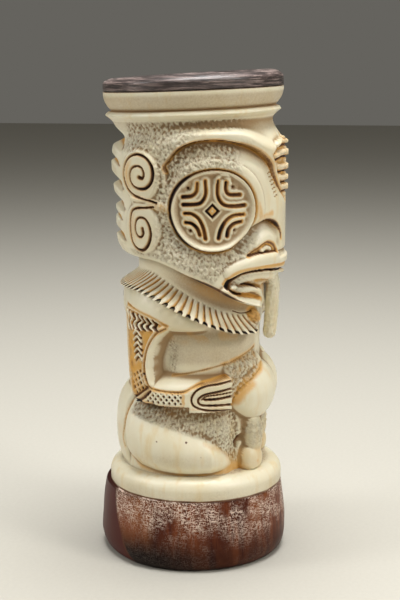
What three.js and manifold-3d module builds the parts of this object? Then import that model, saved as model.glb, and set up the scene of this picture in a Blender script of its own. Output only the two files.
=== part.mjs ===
// A carved tiki mug: a hollow bone-coloured figure on a turned wooden base, with a dark wooden rim ring
// over a steel drinking liner. Millimetres, +Z up, origin at the centre of the underside.
// The figure faces -Y. Its rim leans back a little, so everything at the mouth sits on a tilted axis.
import * as THREE from 'three';
import { mergeVertices } from 'three/addons/utils/BufferGeometryUtils.js';
import Module from 'manifold-3d';

const wasm = await Module();
wasm.setup();

// ---------- driving dimensions ----------
const baseHeight = 27.5; // wooden base, table to seam
const baseOverhang = 0.4; // how far the base stands out past the figure at the seam
const baseSwell = 1.9; // and how much fuller it is lower down
const footInset = 3.5; // from the fullest part in to the flat that stands on the table
const figureHeight = 155.4; // seam on the base to the lip, on the axis
const figureRadius = 35; // the block that the figure is cut from
const rimInset = 0.2; // rim ring's side, in from the block
const rimWidth = 9.6; // from the ring's side to the mouth
const rimHeight = 6.3; // seam to crown
const rimBand = 3.4; // straight part of the ring's side
const rimTilt = 2.2; // degrees, front higher than back

const linerWall = 1;
const linerFlange = 3; // how far the flange reaches out
const linerFloor = 17; // figure left standing under the liner, above the seam
const chestWall = 2.6; // least wall between the liner and the carved chest
const spigotLength = 1.5; // rim ring's spigot, which centres it in the figure

const tenonRadius = 20; // turned foot of the figure, glued into the base
const tenonLength = 8;
const screwRadius = 1.9;
const screwHeadRadius = 3.9;
const screwHeadHeight = 2.2;
const screwHeadEdge = 0.4; // straight edge of the head, under the countersink
const screwPoint = 3; // length of its tapered end
const screwTip = 0.3; // radius left at its tip
const screwCircle = 12.5; // radius of the circle that the screws stand on
const screwCount = 3;
const screwBite = 13; // thread length in the figure
const screwSegments = 16; // facets round a screw
const padMargin = 7.8; // from the foot's edge in to the pad
const padThickness = 1.5;

const linerFootRound = 2; // bevel round the liner's foot
const rimInnerRound = 2.4; // how far the ring's crown rolls down into the mouth
const rimCrownShare = 0.42; // the crown stands at this share of the ring's width, out from the mouth
const beltShare = 0.25; // the base is fullest at this share of its height
const roundSteps = 5; // facets along a rounded profile

const tongueWidth = 12;
const tongueThickness = 6;
const tongueDrop = 25; // mouth to tip
const clearance = 0.3; // fitting gap between neighbours

const columns = 60; // facets round the figure
const tongueFacets = 14; // along the tongue, and round it
const roundSegments = 48; // facets round the turned pieces

// ---------- levels and radii of the carving, for a figure of the height and radius drawn ----------
const drawn = { height: 155.4, radius: 35, seam: 27.5 };
const plinth = { top: 36, round: 5 };
const lineEdge = 0.3; // half the height of a step between two rows of the skin
const chest = { radius: 25, level: 85 };
const thigh = { low: 37.5, high: 62, from: 48, to: 144, swell: 8.6 };
const seat = { low: 37, high: 63, from: 142, swell: 6.2 };
const foot = { angle: 31, level: 40, halfAngle: 15, halfHeight: 7.5, swell: 6.5 };
const shin = { level: 48, halfAngle: 42, halfHeight: 12, swell: 3.5 };
const knee = { level: 66.5, halfAngle: 52, halfHeight: 13, swell: 8 };
const upperArm = { from: 112, to: 147, low: 66, high: 100 };
const forearm = { from: 55, to: 138, low: 63.5, high: 70.5 };
const hand = { from: 55, to: 86, low: 62, high: 73.5 };
const armSwell = 6;
const ruff = { front: 91.7, back: 106.5, width: 6, radius: 30.8 };
const neckRadius = 27;
const jaw = { front: 102, back: 119.5 };
const skull = { radius: 32, crownRadius: 30, forward: 4, narrowFrom: 158, narrowTo: 170 };
const eye = { angle: 71, level: 139.5, radius: 16 };
const ears = [{ angle: 120, level: 152.5, radius: 7.4 }, { angle: 121.5, level: 131.5, radius: 7 }];
const crest = { from: 146, levels: [126.5, 134.5, 142.5, 150, 157, 162.5], halfHeight: 4, swell: 3.6 };
const lips = { corner: 58, low: 104.8, high: 116.3, halfHeight: 2.4, swell: 1.1, sunk: 4.2 };
const tongue = { radius: 30.6, level: 109.3 };
const bead = { drop: 9.3, halfHeight: 1.9, inner: 31, swell: 2.4 }; // drop is measured down from the lip
const cove = { drop: 7.3, inner: 31.2 };
const neckTop = 172; // level of the crease under the bead, on the axis
const skinTop = 3.5; // how far the skin runs on above the lip, to be cut off by the lip plane

// ---------- worked out ----------
const lipZ = baseHeight + figureHeight;
const lipZDrawn = drawn.seam + drawn.height;
const tilt = THREE.MathUtils.degToRad(rimTilt);
const stretch = figureHeight / drawn.height;
const girth = figureRadius / drawn.radius;
const level = (mm) => baseHeight + (mm - drawn.seam) * stretch;
const baseTopRadius = figureRadius + baseOverhang;
const baseRadius = baseTopRadius + baseSwell;
const baseFootRadius = baseRadius - footInset;
const padRadius = baseFootRadius - padMargin;
const rimRadius = figureRadius - rimInset;
const mouthRadius = rimRadius - rimWidth;
const linerTopRadius = mouthRadius + clearance;
const flangeRadius = linerTopRadius + linerFlange;
const linerDepth = figureHeight - linerFloor; // lip plane to the liner's underside
const leanAtChest = Math.sin(tilt) * (lipZ - level(chest.level)); // the liner leans with the rim
const linerBottomRadius = girth * chest.radius - leanAtChest - chestWall;
const seatDepth = spigotLength + clearance + linerWall; // counterbore that takes the flange

// ---------- solids and meshes ----------
function solidOf(geometry) {
  const bare = geometry.clone();
  bare.deleteAttribute('normal');
  bare.deleteAttribute('uv');
  const merged = mergeVertices(bare, 1e-4);
  return new wasm.Manifold(new wasm.Mesh({
    numProp: 3,
    vertProperties: new Float32Array(merged.attributes.position.array),
    triVerts: new Uint32Array(merged.index.array),
  }));
}

function geometryOf(solid) {
  const mesh = solid.getMesh();
  const geometry = new THREE.BufferGeometry();
  geometry.setAttribute('position', new THREE.BufferAttribute(new Float32Array(mesh.vertProperties), 3));
  geometry.setIndex(new THREE.BufferAttribute(new Uint32Array(mesh.triVerts), 1));
  geometry.computeVertexNormals();
  return geometry;
}

// A profile of [radius, height] pairs turned about +Z. It runs upwards on the outside of the solid.
function turned(profile, segments = roundSegments) {
  const points = profile.map(([r, h]) => new THREE.Vector2(r, h));
  return new THREE.LatheGeometry(points, segments).rotateX(Math.PI / 2);
}

// A skin through rings of equal length, with both ends closed. Each ring is [Vector3, ...], anticlockwise
// seen from the far end.
function lofted(rings) {
  const positions = [];
  const index = [];
  const n = rings[0].length;
  rings.forEach((ring) => ring.forEach((p) => positions.push(p.x, p.y, p.z)));
  for (let i = 0; i + 1 < rings.length; i++) {
    for (let j = 0; j < n; j++) {
      const a = i * n + j;
      const b = i * n + ((j + 1) % n);
      index.push(a, b, b + n, a, b + n, a + n);
    }
  }
  [rings[0], rings[rings.length - 1]].forEach((ring, end) => {
    const middle = ring.reduce((sum, p) => sum.add(p), new THREE.Vector3()).divideScalar(n);
    const hub = positions.length / 3;
    positions.push(middle.x, middle.y, middle.z);
    const first = end ? (rings.length - 1) * n : 0;
    for (let j = 0; j < n; j++) {
      const a = first + j;
      const b = first + ((j + 1) % n);
      if (end) index.push(a, b, hub);
      else index.push(b, a, hub);
    }
  });
  const geometry = new THREE.BufferGeometry();
  geometry.setAttribute('position', new THREE.Float32BufferAttribute(positions, 3));
  geometry.setIndex(index);
  geometry.computeVertexNormals();
  return geometry;
}

// Moves a solid from the mouth's own axis, where the lip plane is height 0, into the part's frame.
function atMouth(geometry) {
  return geometry.clone().rotateX(-tilt).translate(0, 0, lipZ);
}

function named(name, geometry, colour, roughness, metalness = 0) {
  const material = new THREE.MeshStandardMaterial({ color: colour, roughness, metalness });
  const mesh = new THREE.Mesh(geometry, material);
  mesh.name = name;
  return mesh;
}

// ---------- the carving, as a radius over angle and height ----------
// Angles are degrees from the front, the same on both sides; heights are the drawn ones.
const smooth = (low, high, x) => THREE.MathUtils.smoothstep(x, low, high);
const mix = THREE.MathUtils.lerp;
const cosine = (angle) => Math.cos(THREE.MathUtils.degToRad(angle));
const arcLength = (angle) => THREE.MathUtils.degToRad(angle) * drawn.radius;
const rimLean = (a) => Math.tan(tilt) * drawn.radius * cosine(a);

// 1 inside the range and 0 outside it, with a soft edge.
const between = (x, low, high, edge) => (
  smooth(low - edge, low + edge, x) * (1 - smooth(high - edge, high + edge, x))
);

// 1 at the middle of a rounded lump, 0 from its edge outwards; a higher power makes it boxier.
function lump(x, y = 0, power = 2) {
  const inside = 1 - Math.abs(x) ** power - Math.abs(y) ** power;
  return inside > 0 ? inside ** (1 / power) : 0;
}

// Lines that run round the figure, low at the front and high at the back.
const ruffEdge = (a) => mix(ruff.front, ruff.back, smooth(40, 130, a));
const jawLine = (a) => mix(jaw.front, jaw.back, smooth(25, 125, a));
const thighTop = (a) => mix(46, thigh.high, smooth(50, 118, a));
const thighBottom = (a) => thigh.low + 6 * smooth(125, 150, a);

function plinthRadius(z) {
  const corner = plinth.top - plinth.round;
  if (z > plinth.top) return 0;
  if (z < corner) return drawn.radius;
  return drawn.radius - plinth.round + Math.sqrt(plinth.round ** 2 - (z - corner) ** 2);
}

function legRadius(a, z) {
  const middle = (thighTop(a) + thighBottom(a)) / 2;
  const half = (thighTop(a) - thighBottom(a)) / 2;
  const fullness = smooth(thigh.from, 75, a) * (1 - smooth(thigh.to - 6, thigh.to, a));
  const seatMiddle = (seat.low + seat.high) / 2;
  const seatHalf = (seat.high - seat.low) / 2;
  return chest.radius + Math.max(
    thigh.swell * fullness * lump((z - middle) / half),
    seat.swell * smooth(seat.from, seat.from + 7, a) * lump((z - seatMiddle) / seatHalf, 0, 4),
    foot.swell * lump((a - foot.angle) / foot.halfAngle, (z - foot.level) / foot.halfHeight, 3),
    shin.swell * lump(a / shin.halfAngle, (z - shin.level) / shin.halfHeight, 4),
    knee.swell * lump(a / knee.halfAngle, (z - knee.level) / knee.halfHeight, 3),
  );
}

function armRadius(a, z) {
  const arm = [upperArm, forearm, hand].map((piece) => (
    between(a, piece.from, piece.to, 3) * between(z, piece.low, piece.high, 1.4)));
  const behindForearm = 0.8 * between(a, 58, 125, 6) * between(z, forearm.low, forearm.high + 3, 3);
  const shoulder = 0.75 * smooth(70, 105, a) * lump((z - ruffEdge(a) + 5) / 8);
  return chest.radius + armSwell * Math.max(...arm, behindForearm, shoulder);
}

function ruffRadius(a, z) {
  const up = (z - ruffEdge(a)) / ruff.width;
  if (up < 0 || z > jawLine(a) + 2) return 0;
  const neck = neckRadius + skull.forward * cosine(a) - 2.5 * smooth(150, 180, a);
  return mix(ruff.radius + 2.6 * cosine(a), neck, smooth(0, 1, up));
}

// Two lips run round the front from one corner of the mouth to the other, with the mouth sunk between them.
function mouthRelief(a, z) {
  const open = 1 - smooth(lips.corner - 22, lips.corner, a);
  const middle = (lips.low + lips.high) / 2;
  const upper = mix(middle + 1, lips.high, open);
  const lower = mix(middle - 1, lips.low, open);
  const present = 1 - smooth(lips.corner, lips.corner + 8, a);
  const lip = Math.max(lump((z - upper - 1.6) / lips.halfHeight), lump((z - lower + 1.4) / lips.halfHeight));
  return present * (lips.swell * lip - lips.sunk * open * between(z, lower + 0.4, upper - 0.4, 0.9));
}

function headRadius(a, z) {
  const edge = smooth(jawLine(a) - 1.2, jawLine(a) + 1.2, z);
  const full = skull.radius + skull.forward * cosine(a);
  const crown = skull.crownRadius + cosine(a);
  const toEye = Math.hypot(arcLength(a - eye.angle), z - eye.level);
  const aboveEye = smooth(136, 146, z) * smooth(eye.radius - 1, eye.radius + 8, toEye);
  const browHollow = 2.2 * (1 - smooth(eye.radius + 6, eye.radius + 9, toEye)) * aboveEye;
  const eyeGroove = 1.2 * between(toEye, eye.radius - 0.6, eye.radius + 0.8, 0.6);
  const eyeDisc = 1.2 * (1 - smooth(eye.radius - 2, eye.radius, toEye));
  const noseHollow = 1.8 * between(a, 12, 48, 4) * between(z, 123, 131.5, 2.5);
  const ear = Math.max(...ears.map((scroll) => {
    const toScroll = Math.hypot(arcLength(a - scroll.angle), z - scroll.level);
    return 1 - smooth(scroll.radius - 1, scroll.radius + 0.6, toScroll);
  }));
  const knob = Math.max(...crest.levels.map((middle) => lump((z - middle) / crest.halfHeight)));
  const crestRelief = crest.swell * smooth(crest.from - 4, crest.from + 4, a) * knob;
  const block = mix(full, crown, smooth(skull.narrowFrom + skull.forward * cosine(a), skull.narrowTo, z));
  const raised = eyeDisc + 1.4 * ear + crestRelief;
  const sunk = browHollow + eyeGroove + noseHollow;
  return edge * (block + mouthRelief(a, z)) + raised - sunk;
}

function collarRadius(a, z) {
  const below = lipZDrawn + rimLean(a) - z;
  const beadRadius = bead.inner + bead.swell * lump((below - bead.drop) / bead.halfHeight);
  const sweep = THREE.MathUtils.clamp(below / cove.drop, 0, 1);
  const coveRadius = mix(rimRadius / girth, cove.inner, sweep ** 3);
  if (below > bead.drop + bead.halfHeight) return 0;
  return below < cove.drop ? Math.max(beadRadius, coveRadius) : beadRadius;
}

function carvedRadius(a, z) {
  const parts = [plinthRadius(z), legRadius(a, z), armRadius(a, z), ruffRadius(a, z), collarRadius(a, z)];
  if (z > jawLine(a) - 1.2 && z < neckTop + rimLean(a)) parts.push(headRadius(a, z));
  return girth * Math.max(...parts);
}

// Rows of the skin follow the lines of the carving, so that the thigh, ruff and jaw keep clean edges.
function rowHeights(a) {
  const lines = [ // each level, and the number of rows from it to the next
    [drawn.seam, 3], [plinth.top, 1], [thighBottom(a), 6], [thighTop(a), 4], [forearm.low, 4],
    [forearm.high + 3.5, 5], [ruffEdge(a) - lineEdge, 1], [ruffEdge(a) + lineEdge, 4],
    [jawLine(a) - 2 * lineEdge, 1], [jawLine(a) + 2 * lineEdge, 8], [142, 8], [165, 3],
    [neckTop + rimLean(a), 6], [lipZDrawn + skinTop + rimLean(a), 0],
  ];
  const heights = [];
  for (let i = 0; i + 1 < lines.length; i++) {
    const [from, steps] = lines[i];
    for (let k = 0; k < steps; k++) heights.push(mix(from, lines[i + 1][0], k / steps));
  }
  heights.push(lines[lines.length - 1][0]);
  return heights;
}

function figureSkin() {
  const perColumn = [];
  for (let j = 0; j < columns; j++) {
    const around = (360 * j) / columns;
    const a = around > 180 ? 360 - around : around;
    const turn = THREE.MathUtils.degToRad(around);
    perColumn.push(rowHeights(a).map((z) => {
      const r = carvedRadius(a, z);
      return new THREE.Vector3(r * Math.sin(turn), -r * Math.cos(turn), level(z));
    }));
  }
  return lofted(perColumn[0].map((_, row) => perColumn.map((column) => column[row])));
}

// ---------- tongue ----------
// A flat tongue that leaves the mouth, turns down over the lower lip and hangs free.
function tongueSkin(grow) {
  const out = girth * tongue.radius;
  const mouthZ = level(tongue.level);
  const path = new THREE.CatmullRomCurve3([
    new THREE.Vector3(0, -out + 6, mouthZ + 1),
    new THREE.Vector3(0, -out + 1, mouthZ + 0.8),
    new THREE.Vector3(0, -out - 1.4, mouthZ - 3),
    new THREE.Vector3(0, -out - 0.4, mouthZ - tongueDrop * 0.6),
    new THREE.Vector3(0, -out + 0.8, mouthZ - tongueDrop + tongueThickness / 3),
  ]);
  const rings = [];
  for (let i = 0; i <= tongueFacets; i++) {
    const t = i / tongueFacets;
    const centre = path.getPointAt(t);
    const along = path.getTangentAt(t);
    const outward = new THREE.Vector3(0, along.z, -along.y);
    const nearTip = Math.max(0, (t - 0.78) / 0.22);
    const share = Math.sqrt(1 - 0.85 * nearTip ** 2);
    const half = (tongueWidth / 2) * (0.8 + 0.2 * Math.sin(Math.PI * Math.min(1, t * 1.3))) * share + grow;
    const thick = (tongueThickness / 2) * (0.72 + 0.28 * Math.sin(Math.PI * t)) * share + grow;
    const shift = along.clone().multiplyScalar(i === 0 ? -grow : i === tongueFacets ? grow : 0);
    const ring = [];
    for (let j = 0; j < tongueFacets; j++) {
      const turn = (2 * Math.PI * j) / tongueFacets;
      const side = Math.sign(Math.cos(turn)) * Math.abs(Math.cos(turn)) ** 0.75 * half;
      const lift = Math.sin(turn) * thick;
      ring.push(centre.clone().add(shift).add(new THREE.Vector3(side, 0, 0)).addScaledVector(outward, lift));
    }
    rings.push(ring);
  }
  return lofted(rings);
}

// ---------- mouth parts, turned about the tilted axis ----------
// Outside of the liner's wall, pushed out by grow: a beaker that flares towards the top.
function linerOutside(grow) {
  const points = [];
  const steps = 5;
  for (let i = 0; i <= steps; i++) {
    const t = i / steps;
    const r = mix(linerBottomRadius, linerTopRadius, t * t);
    points.push([r + grow, mix(-linerDepth + linerFootRound, -seatDepth, t)]);
  }
  return points;
}

function linerGeometry() {
  const floor = -linerDepth;
  const footRadius = linerBottomRadius - linerFootRound;
  const inside = floor + linerWall;
  return turned([
    [0, floor], [footRadius, floor], ...linerOutside(0),
    [flangeRadius, -seatDepth], [flangeRadius, -seatDepth + linerWall],
    [linerTopRadius - linerWall, -seatDepth + linerWall],
    ...linerOutside(-linerWall).reverse(), [footRadius - linerWall, inside], [0, inside],
  ]);
}

function ringGeometry() {
  const crown = mix(mouthRadius, rimRadius, rimCrownShare);
  const shoulder = [];
  const inward = [];
  for (let i = 0; i <= roundSteps; i++) {
    const turn = (Math.PI / 2) * (i / roundSteps);
    const across = Math.cos(turn);
    const up = Math.sin(turn);
    shoulder.push([mix(crown, rimRadius, across), mix(rimBand, rimHeight, up)]);
    if (i > 0) inward.push([mix(crown, mouthRadius, up), rimHeight - rimInnerRound * (1 - across)]);
  }
  const spigot = flangeRadius - clearance;
  return turned([
    [mouthRadius, -spigotLength], [spigot, -spigotLength], [spigot, clearance], [rimRadius, clearance],
    ...shoulder, ...inward, [mouthRadius, -spigotLength],
  ]);
}

// What is cut out of the figure for the flange, the ring's spigot and the liner.
function cavityGeometry() {
  const counterbore = flangeRadius + clearance;
  const floor = -linerDepth - clearance;
  const footRadius = linerBottomRadius - linerFootRound + clearance;
  return turned([
    [0, floor], [footRadius, floor], ...linerOutside(clearance).slice(0, -1),
    [linerTopRadius + clearance, -seatDepth - clearance], [counterbore, -seatDepth - clearance],
    [counterbore, rimHeight], [0, rimHeight],
  ]);
}

// ---------- base and fasteners ----------
const screwTop = baseHeight - tenonLength + screwBite;
const screwPlaces = Array.from({ length: screwCount }, (_, i) => {
  const turn = (2 * Math.PI * i) / screwCount + Math.PI / 2;
  return [screwCircle * Math.cos(turn), screwCircle * Math.sin(turn)];
});

// A countersunk screw, its head level with the floor of the pad's recess.
function screwGeometry([x, y]) {
  const shank = padThickness + screwHeadHeight;
  const countersink = padThickness + screwHeadEdge;
  return turned([
    [0, padThickness], [screwHeadRadius, padThickness], [screwHeadRadius, countersink], [screwRadius, shank],
    [screwRadius, screwTop - screwPoint], [screwTip, screwTop], [0, screwTop],
  ], screwSegments).translate(x, y, 0);
}

// Its countersunk hole, which is cut through the base and on into the figure.
function screwHole([x, y]) {
  const shank = padThickness + screwHeadHeight + clearance;
  const headHole = screwHeadRadius + clearance;
  const hole = screwRadius + clearance;
  return solidOf(turned([
    [0, 0], [headHole, 0], [headHole, padThickness + screwHeadEdge], [hole, shank],
    [hole, screwTop + clearance], [0, screwTop + clearance],
  ], screwSegments).translate(x, y, 0));
}

const withScrewHoles = (solid) => screwPlaces.reduce((cut, place) => cut.subtract(screwHole(place)), solid);

function baseSolid() {
  const belt = beltShare * baseHeight; // height of the fullest part
  const side = [];
  for (let i = 0; i <= roundSteps; i++) {
    const turn = (Math.PI / 2) * (i / roundSteps);
    side.push([mix(baseFootRadius, baseRadius, Math.sin(turn)), belt * (1 - Math.cos(turn))]);
  }
  for (let i = 1; i <= roundSteps; i++) {
    const t = i / roundSteps;
    side.push([mix(baseRadius, baseTopRadius, t * t), mix(belt, baseHeight, t)]);
  }
  const socket = tenonRadius + clearance;
  const floor = baseHeight - tenonLength - clearance;
  return withScrewHoles(solidOf(turned([
    [0, padThickness], [padRadius + clearance, padThickness], [padRadius + clearance, 0], ...side,
    [socket, baseHeight], [socket, floor], [0, floor],
  ])));
}

function figureSolid() {
  const foot = baseHeight - tenonLength;
  const root = baseHeight + 3; // the tenon runs on into the figure's block
  const tenon = turned([[0, foot], [tenonRadius, foot], [tenonRadius, root], [0, root]]);
  const wide = 2 * figureRadius;
  const aboveLip = turned([[0, 0], [wide, 0], [wide, 20], [0, 20]], 12);
  const block = solidOf(figureSkin()).add(solidOf(tenon));
  const hollow = block.subtract(solidOf(atMouth(aboveLip))).subtract(solidOf(atMouth(cavityGeometry())));
  return withScrewHoles(hollow).subtract(solidOf(tongueSkin(clearance)));
}

function padGeometry() {
  return turned([[0, 0], [padRadius, 0], [padRadius, padThickness], [0, padThickness]]);
}

// ---------- the mug ----------
const mug = new THREE.Group();
mug.add(named('wooden_base', geometryOf(baseSolid()), 0x5a2b18, 0.45));
mug.add(named('carved_figure', geometryOf(figureSolid()), 0xe9dfc2, 0.5));
mug.add(named('tongue', tongueSkin(0), 0xe6d6ac, 0.6));
mug.add(named('rim_ring', atMouth(ringGeometry()), 0x3b2a26, 0.35));
mug.add(named('cup_liner', atMouth(linerGeometry()), 0xc9ccd0, 0.3, 1));
mug.add(named('felt_pad', padGeometry(), 0x2f4a35, 0.95));
screwPlaces.forEach((place, i) => {
  mug.add(named(`base_screw_${i + 1}`, screwGeometry(place), 0xb59a58, 0.35, 1));
});

export default mug;
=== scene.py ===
"""A carved tiki mug: a bone figure on a wooden block, with a dark rim ring over a steel liner.

The carving is worked out as a radius over two parameters, the angle round the figure in degrees
from the front and the level up it in millimetres. Apart from fine unevenness, it is the same on
the figure's left and right.
"""
import math

import bpy
import numpy as np
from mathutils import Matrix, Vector


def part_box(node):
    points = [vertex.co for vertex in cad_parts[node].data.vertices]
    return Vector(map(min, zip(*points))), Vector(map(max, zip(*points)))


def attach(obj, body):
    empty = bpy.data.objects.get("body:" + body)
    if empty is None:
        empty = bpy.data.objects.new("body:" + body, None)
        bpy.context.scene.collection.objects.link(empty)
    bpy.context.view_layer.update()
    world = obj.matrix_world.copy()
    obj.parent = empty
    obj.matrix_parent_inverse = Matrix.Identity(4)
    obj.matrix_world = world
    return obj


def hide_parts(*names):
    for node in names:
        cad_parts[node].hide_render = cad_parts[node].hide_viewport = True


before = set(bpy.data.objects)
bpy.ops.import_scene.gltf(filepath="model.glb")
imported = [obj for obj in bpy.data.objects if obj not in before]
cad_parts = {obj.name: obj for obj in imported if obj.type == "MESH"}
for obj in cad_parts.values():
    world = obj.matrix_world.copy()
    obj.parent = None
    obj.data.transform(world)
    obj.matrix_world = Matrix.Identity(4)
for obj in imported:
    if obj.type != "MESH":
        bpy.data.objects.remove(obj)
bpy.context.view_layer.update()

MM = 0.001
DRAWN_RADIUS = 34.0  # lengths along the skin are measured at this radius
ARC = math.radians(1) * DRAWN_RADIUS  # millimetres along the skin for each degree round it
TILT = math.radians(2.2)  # the rim leans back, so that it is higher at the front


def corner(node, which):
    """Lowest (0) or highest (1) corner of a CAD node, in millimetres."""
    return np.array(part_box(node)[which]) / MM


SEAM = corner("wooden_base", 1)[2]
BASE_RADIUS = corner("wooden_base", 1)[0]
RIM_RADIUS = corner("rim_ring", 1)[0]
LIP = corner("carved_figure", 1)[2] - corner("carved_figure", 1)[0] * math.tan(TILT)
PAD_RADIUS = corner("felt_pad", 1)[0]
PAD_TOP = corner("felt_pad", 1)[2]
FLANGE_RADIUS = corner("cup_liner", 1)[0]
LINER_WALL = 1.0
LINER_TOP = FLANGE_RADIUS - 3.0
LINER_BOTTOM = 18.6
LINER_FLOOR = 17.0  # the liner's underside above the seam
LINER_DEPTH = LIP - SEAM - LINER_FLOOR
SEAT_DEPTH = 2.8  # lip plane down to the underside of the liner's flange
RIM_WIDTH = 9.6
GAP = 0.3  # left for glue
SOCKET = 20.3  # radius of the base's socket for the figure's tenon

PLINTH_RADIUS = 34.4
PLINTH_SHOULDER = 31.2  # level where its edge begins to round over
PLINTH_TOP = 37.0
PLINTH_BORE = SOCKET + GAP
BODY_FOOT = 34.6
CORE = 24.0  # radius of the body's core, which the limbs stand out from

# depths below the lip
COLLAR_END = 7.3
BEAD_MIDDLE = 8.9
CREASE = 10.6
BEAD_RADIUS = 33.9
NECK_RADIUS = 30.2


# ---------------------------------------------------------------- numbers over the skin
def ramp(low, high, x):
    """0 below low, 1 above high, and a smooth S between them; low may be the larger."""
    t = np.clip((x - low) / (high - low), 0, 1)
    return t * t * (3 - 2 * t)


def band(x, low, high, edge):
    """1 between low and high, falling smoothly to 0 over an edge on each side."""
    return ramp(low - edge, low + edge, x) * ramp(high + edge, high - edge, x)


def dome(x, y=0.0, power=2.0):
    """1 at the middle of a rounded lump and 0 from its edge out; a higher power makes it boxier."""
    return np.clip(1 - np.abs(x) ** power - np.abs(y) ** power, 0, None) ** (1 / power)


def blend(low, high, share):
    """The value a share of the way from low to high."""
    return low + (high - low) * share


def softest(first, second, width):
    """The larger of two heights, with the corner between them rounded over a width."""
    h = np.clip(0.5 + (first - second) / (2 * width), 0, 1)
    return blend(second, first, h) + width * h * (1 - h)


def cosine(a):
    """Cosine of an angle in degrees."""
    return np.cos(np.radians(a))


def line(*points, closed=False, steps=8):
    """A smooth line through (degrees, level) points: a Catmull-Rom curve, in mm along the skin
    and up it."""
    p = np.array(points, float) * (ARC, 1)
    before, after = (p[-1:], p[:2]) if closed else (2 * p[:1] - p[1:2], 2 * p[-1:] - p[-2:-1])
    p = np.vstack([before, p, after])
    a, b, c, d = (q[:, None] for q in (p[:-3], p[1:-2], p[2:-1], p[3:]))
    t = np.linspace(0, 1, steps, endpoint=False)[None, :, None]
    return np.vstack([catmull(a, b, c, d, t).reshape(-1, 2), p[-2:-1]])


def catmull(a, b, c, d, t):
    """The point a share t of the way from b to c, on the Catmull-Rom curve through a, b, c and d."""
    return b + ((c - a) * t + (2 * a - 5 * b + 4 * c - d) * t**2 + (3 * b - 3 * c + d - a) * t**3) / 2


def reach(path, s, z, limit=6.0):
    """Distance from each point to a line, up to a limit, and how far along the line, from 0 to 1,
    its nearest point lies."""
    nearest = np.full(s.shape, limit)
    along = np.zeros(s.shape)
    low, high = path.min(0) - limit, path.max(0) + limit
    close = (s > low[0]) & (s < high[0]) & (z > low[1]) & (z < high[1])
    px, py = s[close], z[close]
    best, share = nearest[close], along[close]
    for i, ((x0, y0), (x1, y1)) in enumerate(zip(path[:-1], path[1:])):
        dx, dy = x1 - x0, y1 - y0
        t = np.clip(((px - x0) * dx + (py - y0) * dy) / max(dx * dx + dy * dy, 1e-9), 0, 1)
        d = np.hypot(px - x0 - t * dx, py - y0 - t * dy)
        share = np.where(d < best, (i + t) / (len(path) - 1), share)
        best = np.minimum(d, best)
    nearest[close], along[close] = best, share
    return nearest, along


def into(outline, s, z, limit=6.0):
    """How far each point lies inside a closed outline; outside it the distance is negative."""
    inside = np.zeros(s.shape, bool)
    for (x0, y0), (x1, y1) in zip(outline[:-1], outline[1:]):
        if y0 != y1:
            inside ^= ((z > y0) != (z > y1)) & (s < x0 + (z - y0) / (y1 - y0) * (x1 - x0))
    distance = reach(outline, s, z, limit)[0]
    return np.where(inside, distance, -distance)


def scatter(x, y, seed):
    """Distance from each point to the nearest of a scatter of marks, one in each unit cell, at a
    place in it that a sine hash of the cell gives."""
    cell_x, cell_y = np.floor(x), np.floor(y)
    nearest = np.ones(x.shape)
    for i in (-1, 0, 1):
        for j in (-1, 0, 1):
            cx, cy = cell_x + i, cell_y + j
            jitter_x = np.sin(cx * 127.1 + cy * 311.7 + seed) * 4375.85 % 1
            jitter_y = np.sin(cx * 269.5 + cy * 183.3 + seed) * 4375.85 % 1
            nearest = np.minimum(nearest, np.hypot(cx + jitter_x - x, cy + jitter_y - y))
    return nearest


def ripple(x, y, seed):
    """Soft unevenness between -1 and 1: four crossed sine waves of unlike lengths and directions."""
    total = 0
    for k in range(4):
        turn = seed + 1.9 * k
        stretch = 1 + 0.37 * k
        total = total + np.sin(stretch * (x * math.cos(turn) + y * math.sin(turn)) + 5.3 * turn)
    return total / 4


def soften(values, cells):
    """Moving average over a square of cells either way, carried on round the columns."""
    window = 2 * cells + 1
    for axis, mode in ((0, "edge"), (1, "wrap")):
        pads = [(0, 0), (0, 0)]
        pads[axis] = (cells + 1, cells)
        total = np.moveaxis(np.cumsum(np.pad(values, pads, mode=mode), axis), axis, 0)
        values = np.moveaxis(total[window:] - total[:-window], 0, axis) / window
    return values


# ---------------------------------------------------------------- meshes from arrays
def piece(name, points, marks=None, wrap=True, sharp=40.0):
    """A closed skin through a grid of points, rows by columns, which joins up in both directions, or
    only round its columns with a fan of faces at each end. marks are values kept on the points."""
    rows, cols = points.shape[:2]
    index = np.arange(rows * cols).reshape(rows, cols)
    lower = index if wrap else index[:-1]
    upper = np.roll(index, -1, 0) if wrap else index[1:]
    quads = np.stack([lower, upper, np.roll(upper, -1, 1), np.roll(lower, -1, 1)], -1).reshape(-1, 4)
    faces = quads.tolist()
    if not wrap:
        faces += [index[0].tolist(), index[-1, ::-1].tolist()]
    mesh = bpy.data.meshes.new(name)
    mesh.from_pydata((points.reshape(-1, 3) * MM).tolist(), [], faces)
    for key, values in (marks or {}).items():
        attribute = mesh.attributes.new(key, "FLOAT", "POINT")
        attribute.data.foreach_set("value", np.ascontiguousarray(values, np.float32).ravel())
    mesh.shade_smooth()
    mesh.set_sharp_from_angle(angle=math.radians(sharp))
    obj = bpy.data.objects.new(name, mesh)
    bpy.context.scene.collection.objects.link(obj)
    return obj


def place(obj, node, finish):
    """Fixes a piece to the mug, in the place of its CAD node, with its finish."""
    obj.data.materials.clear()
    obj.data.materials.append(finish)
    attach(obj, "root")
    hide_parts(node)


def around(theta, radius, level):
    """Points at angles from the front, towards the figure's right-hand side, at radii and levels."""
    turn = np.radians(theta)
    return np.stack(np.broadcast_arrays(-radius * np.sin(turn), -radius * np.cos(turn), level), -1)


def at_mouth(points):
    """Moves points from the mouth's own axis, where the lip plane is level 0, to the leaning mouth."""
    x, y, z = np.moveaxis(points, -1, 0)
    c, s = math.cos(TILT), math.sin(TILT)
    return np.stack([x, y * c + z * s, z * c - y * s + LIP], -1)


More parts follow.
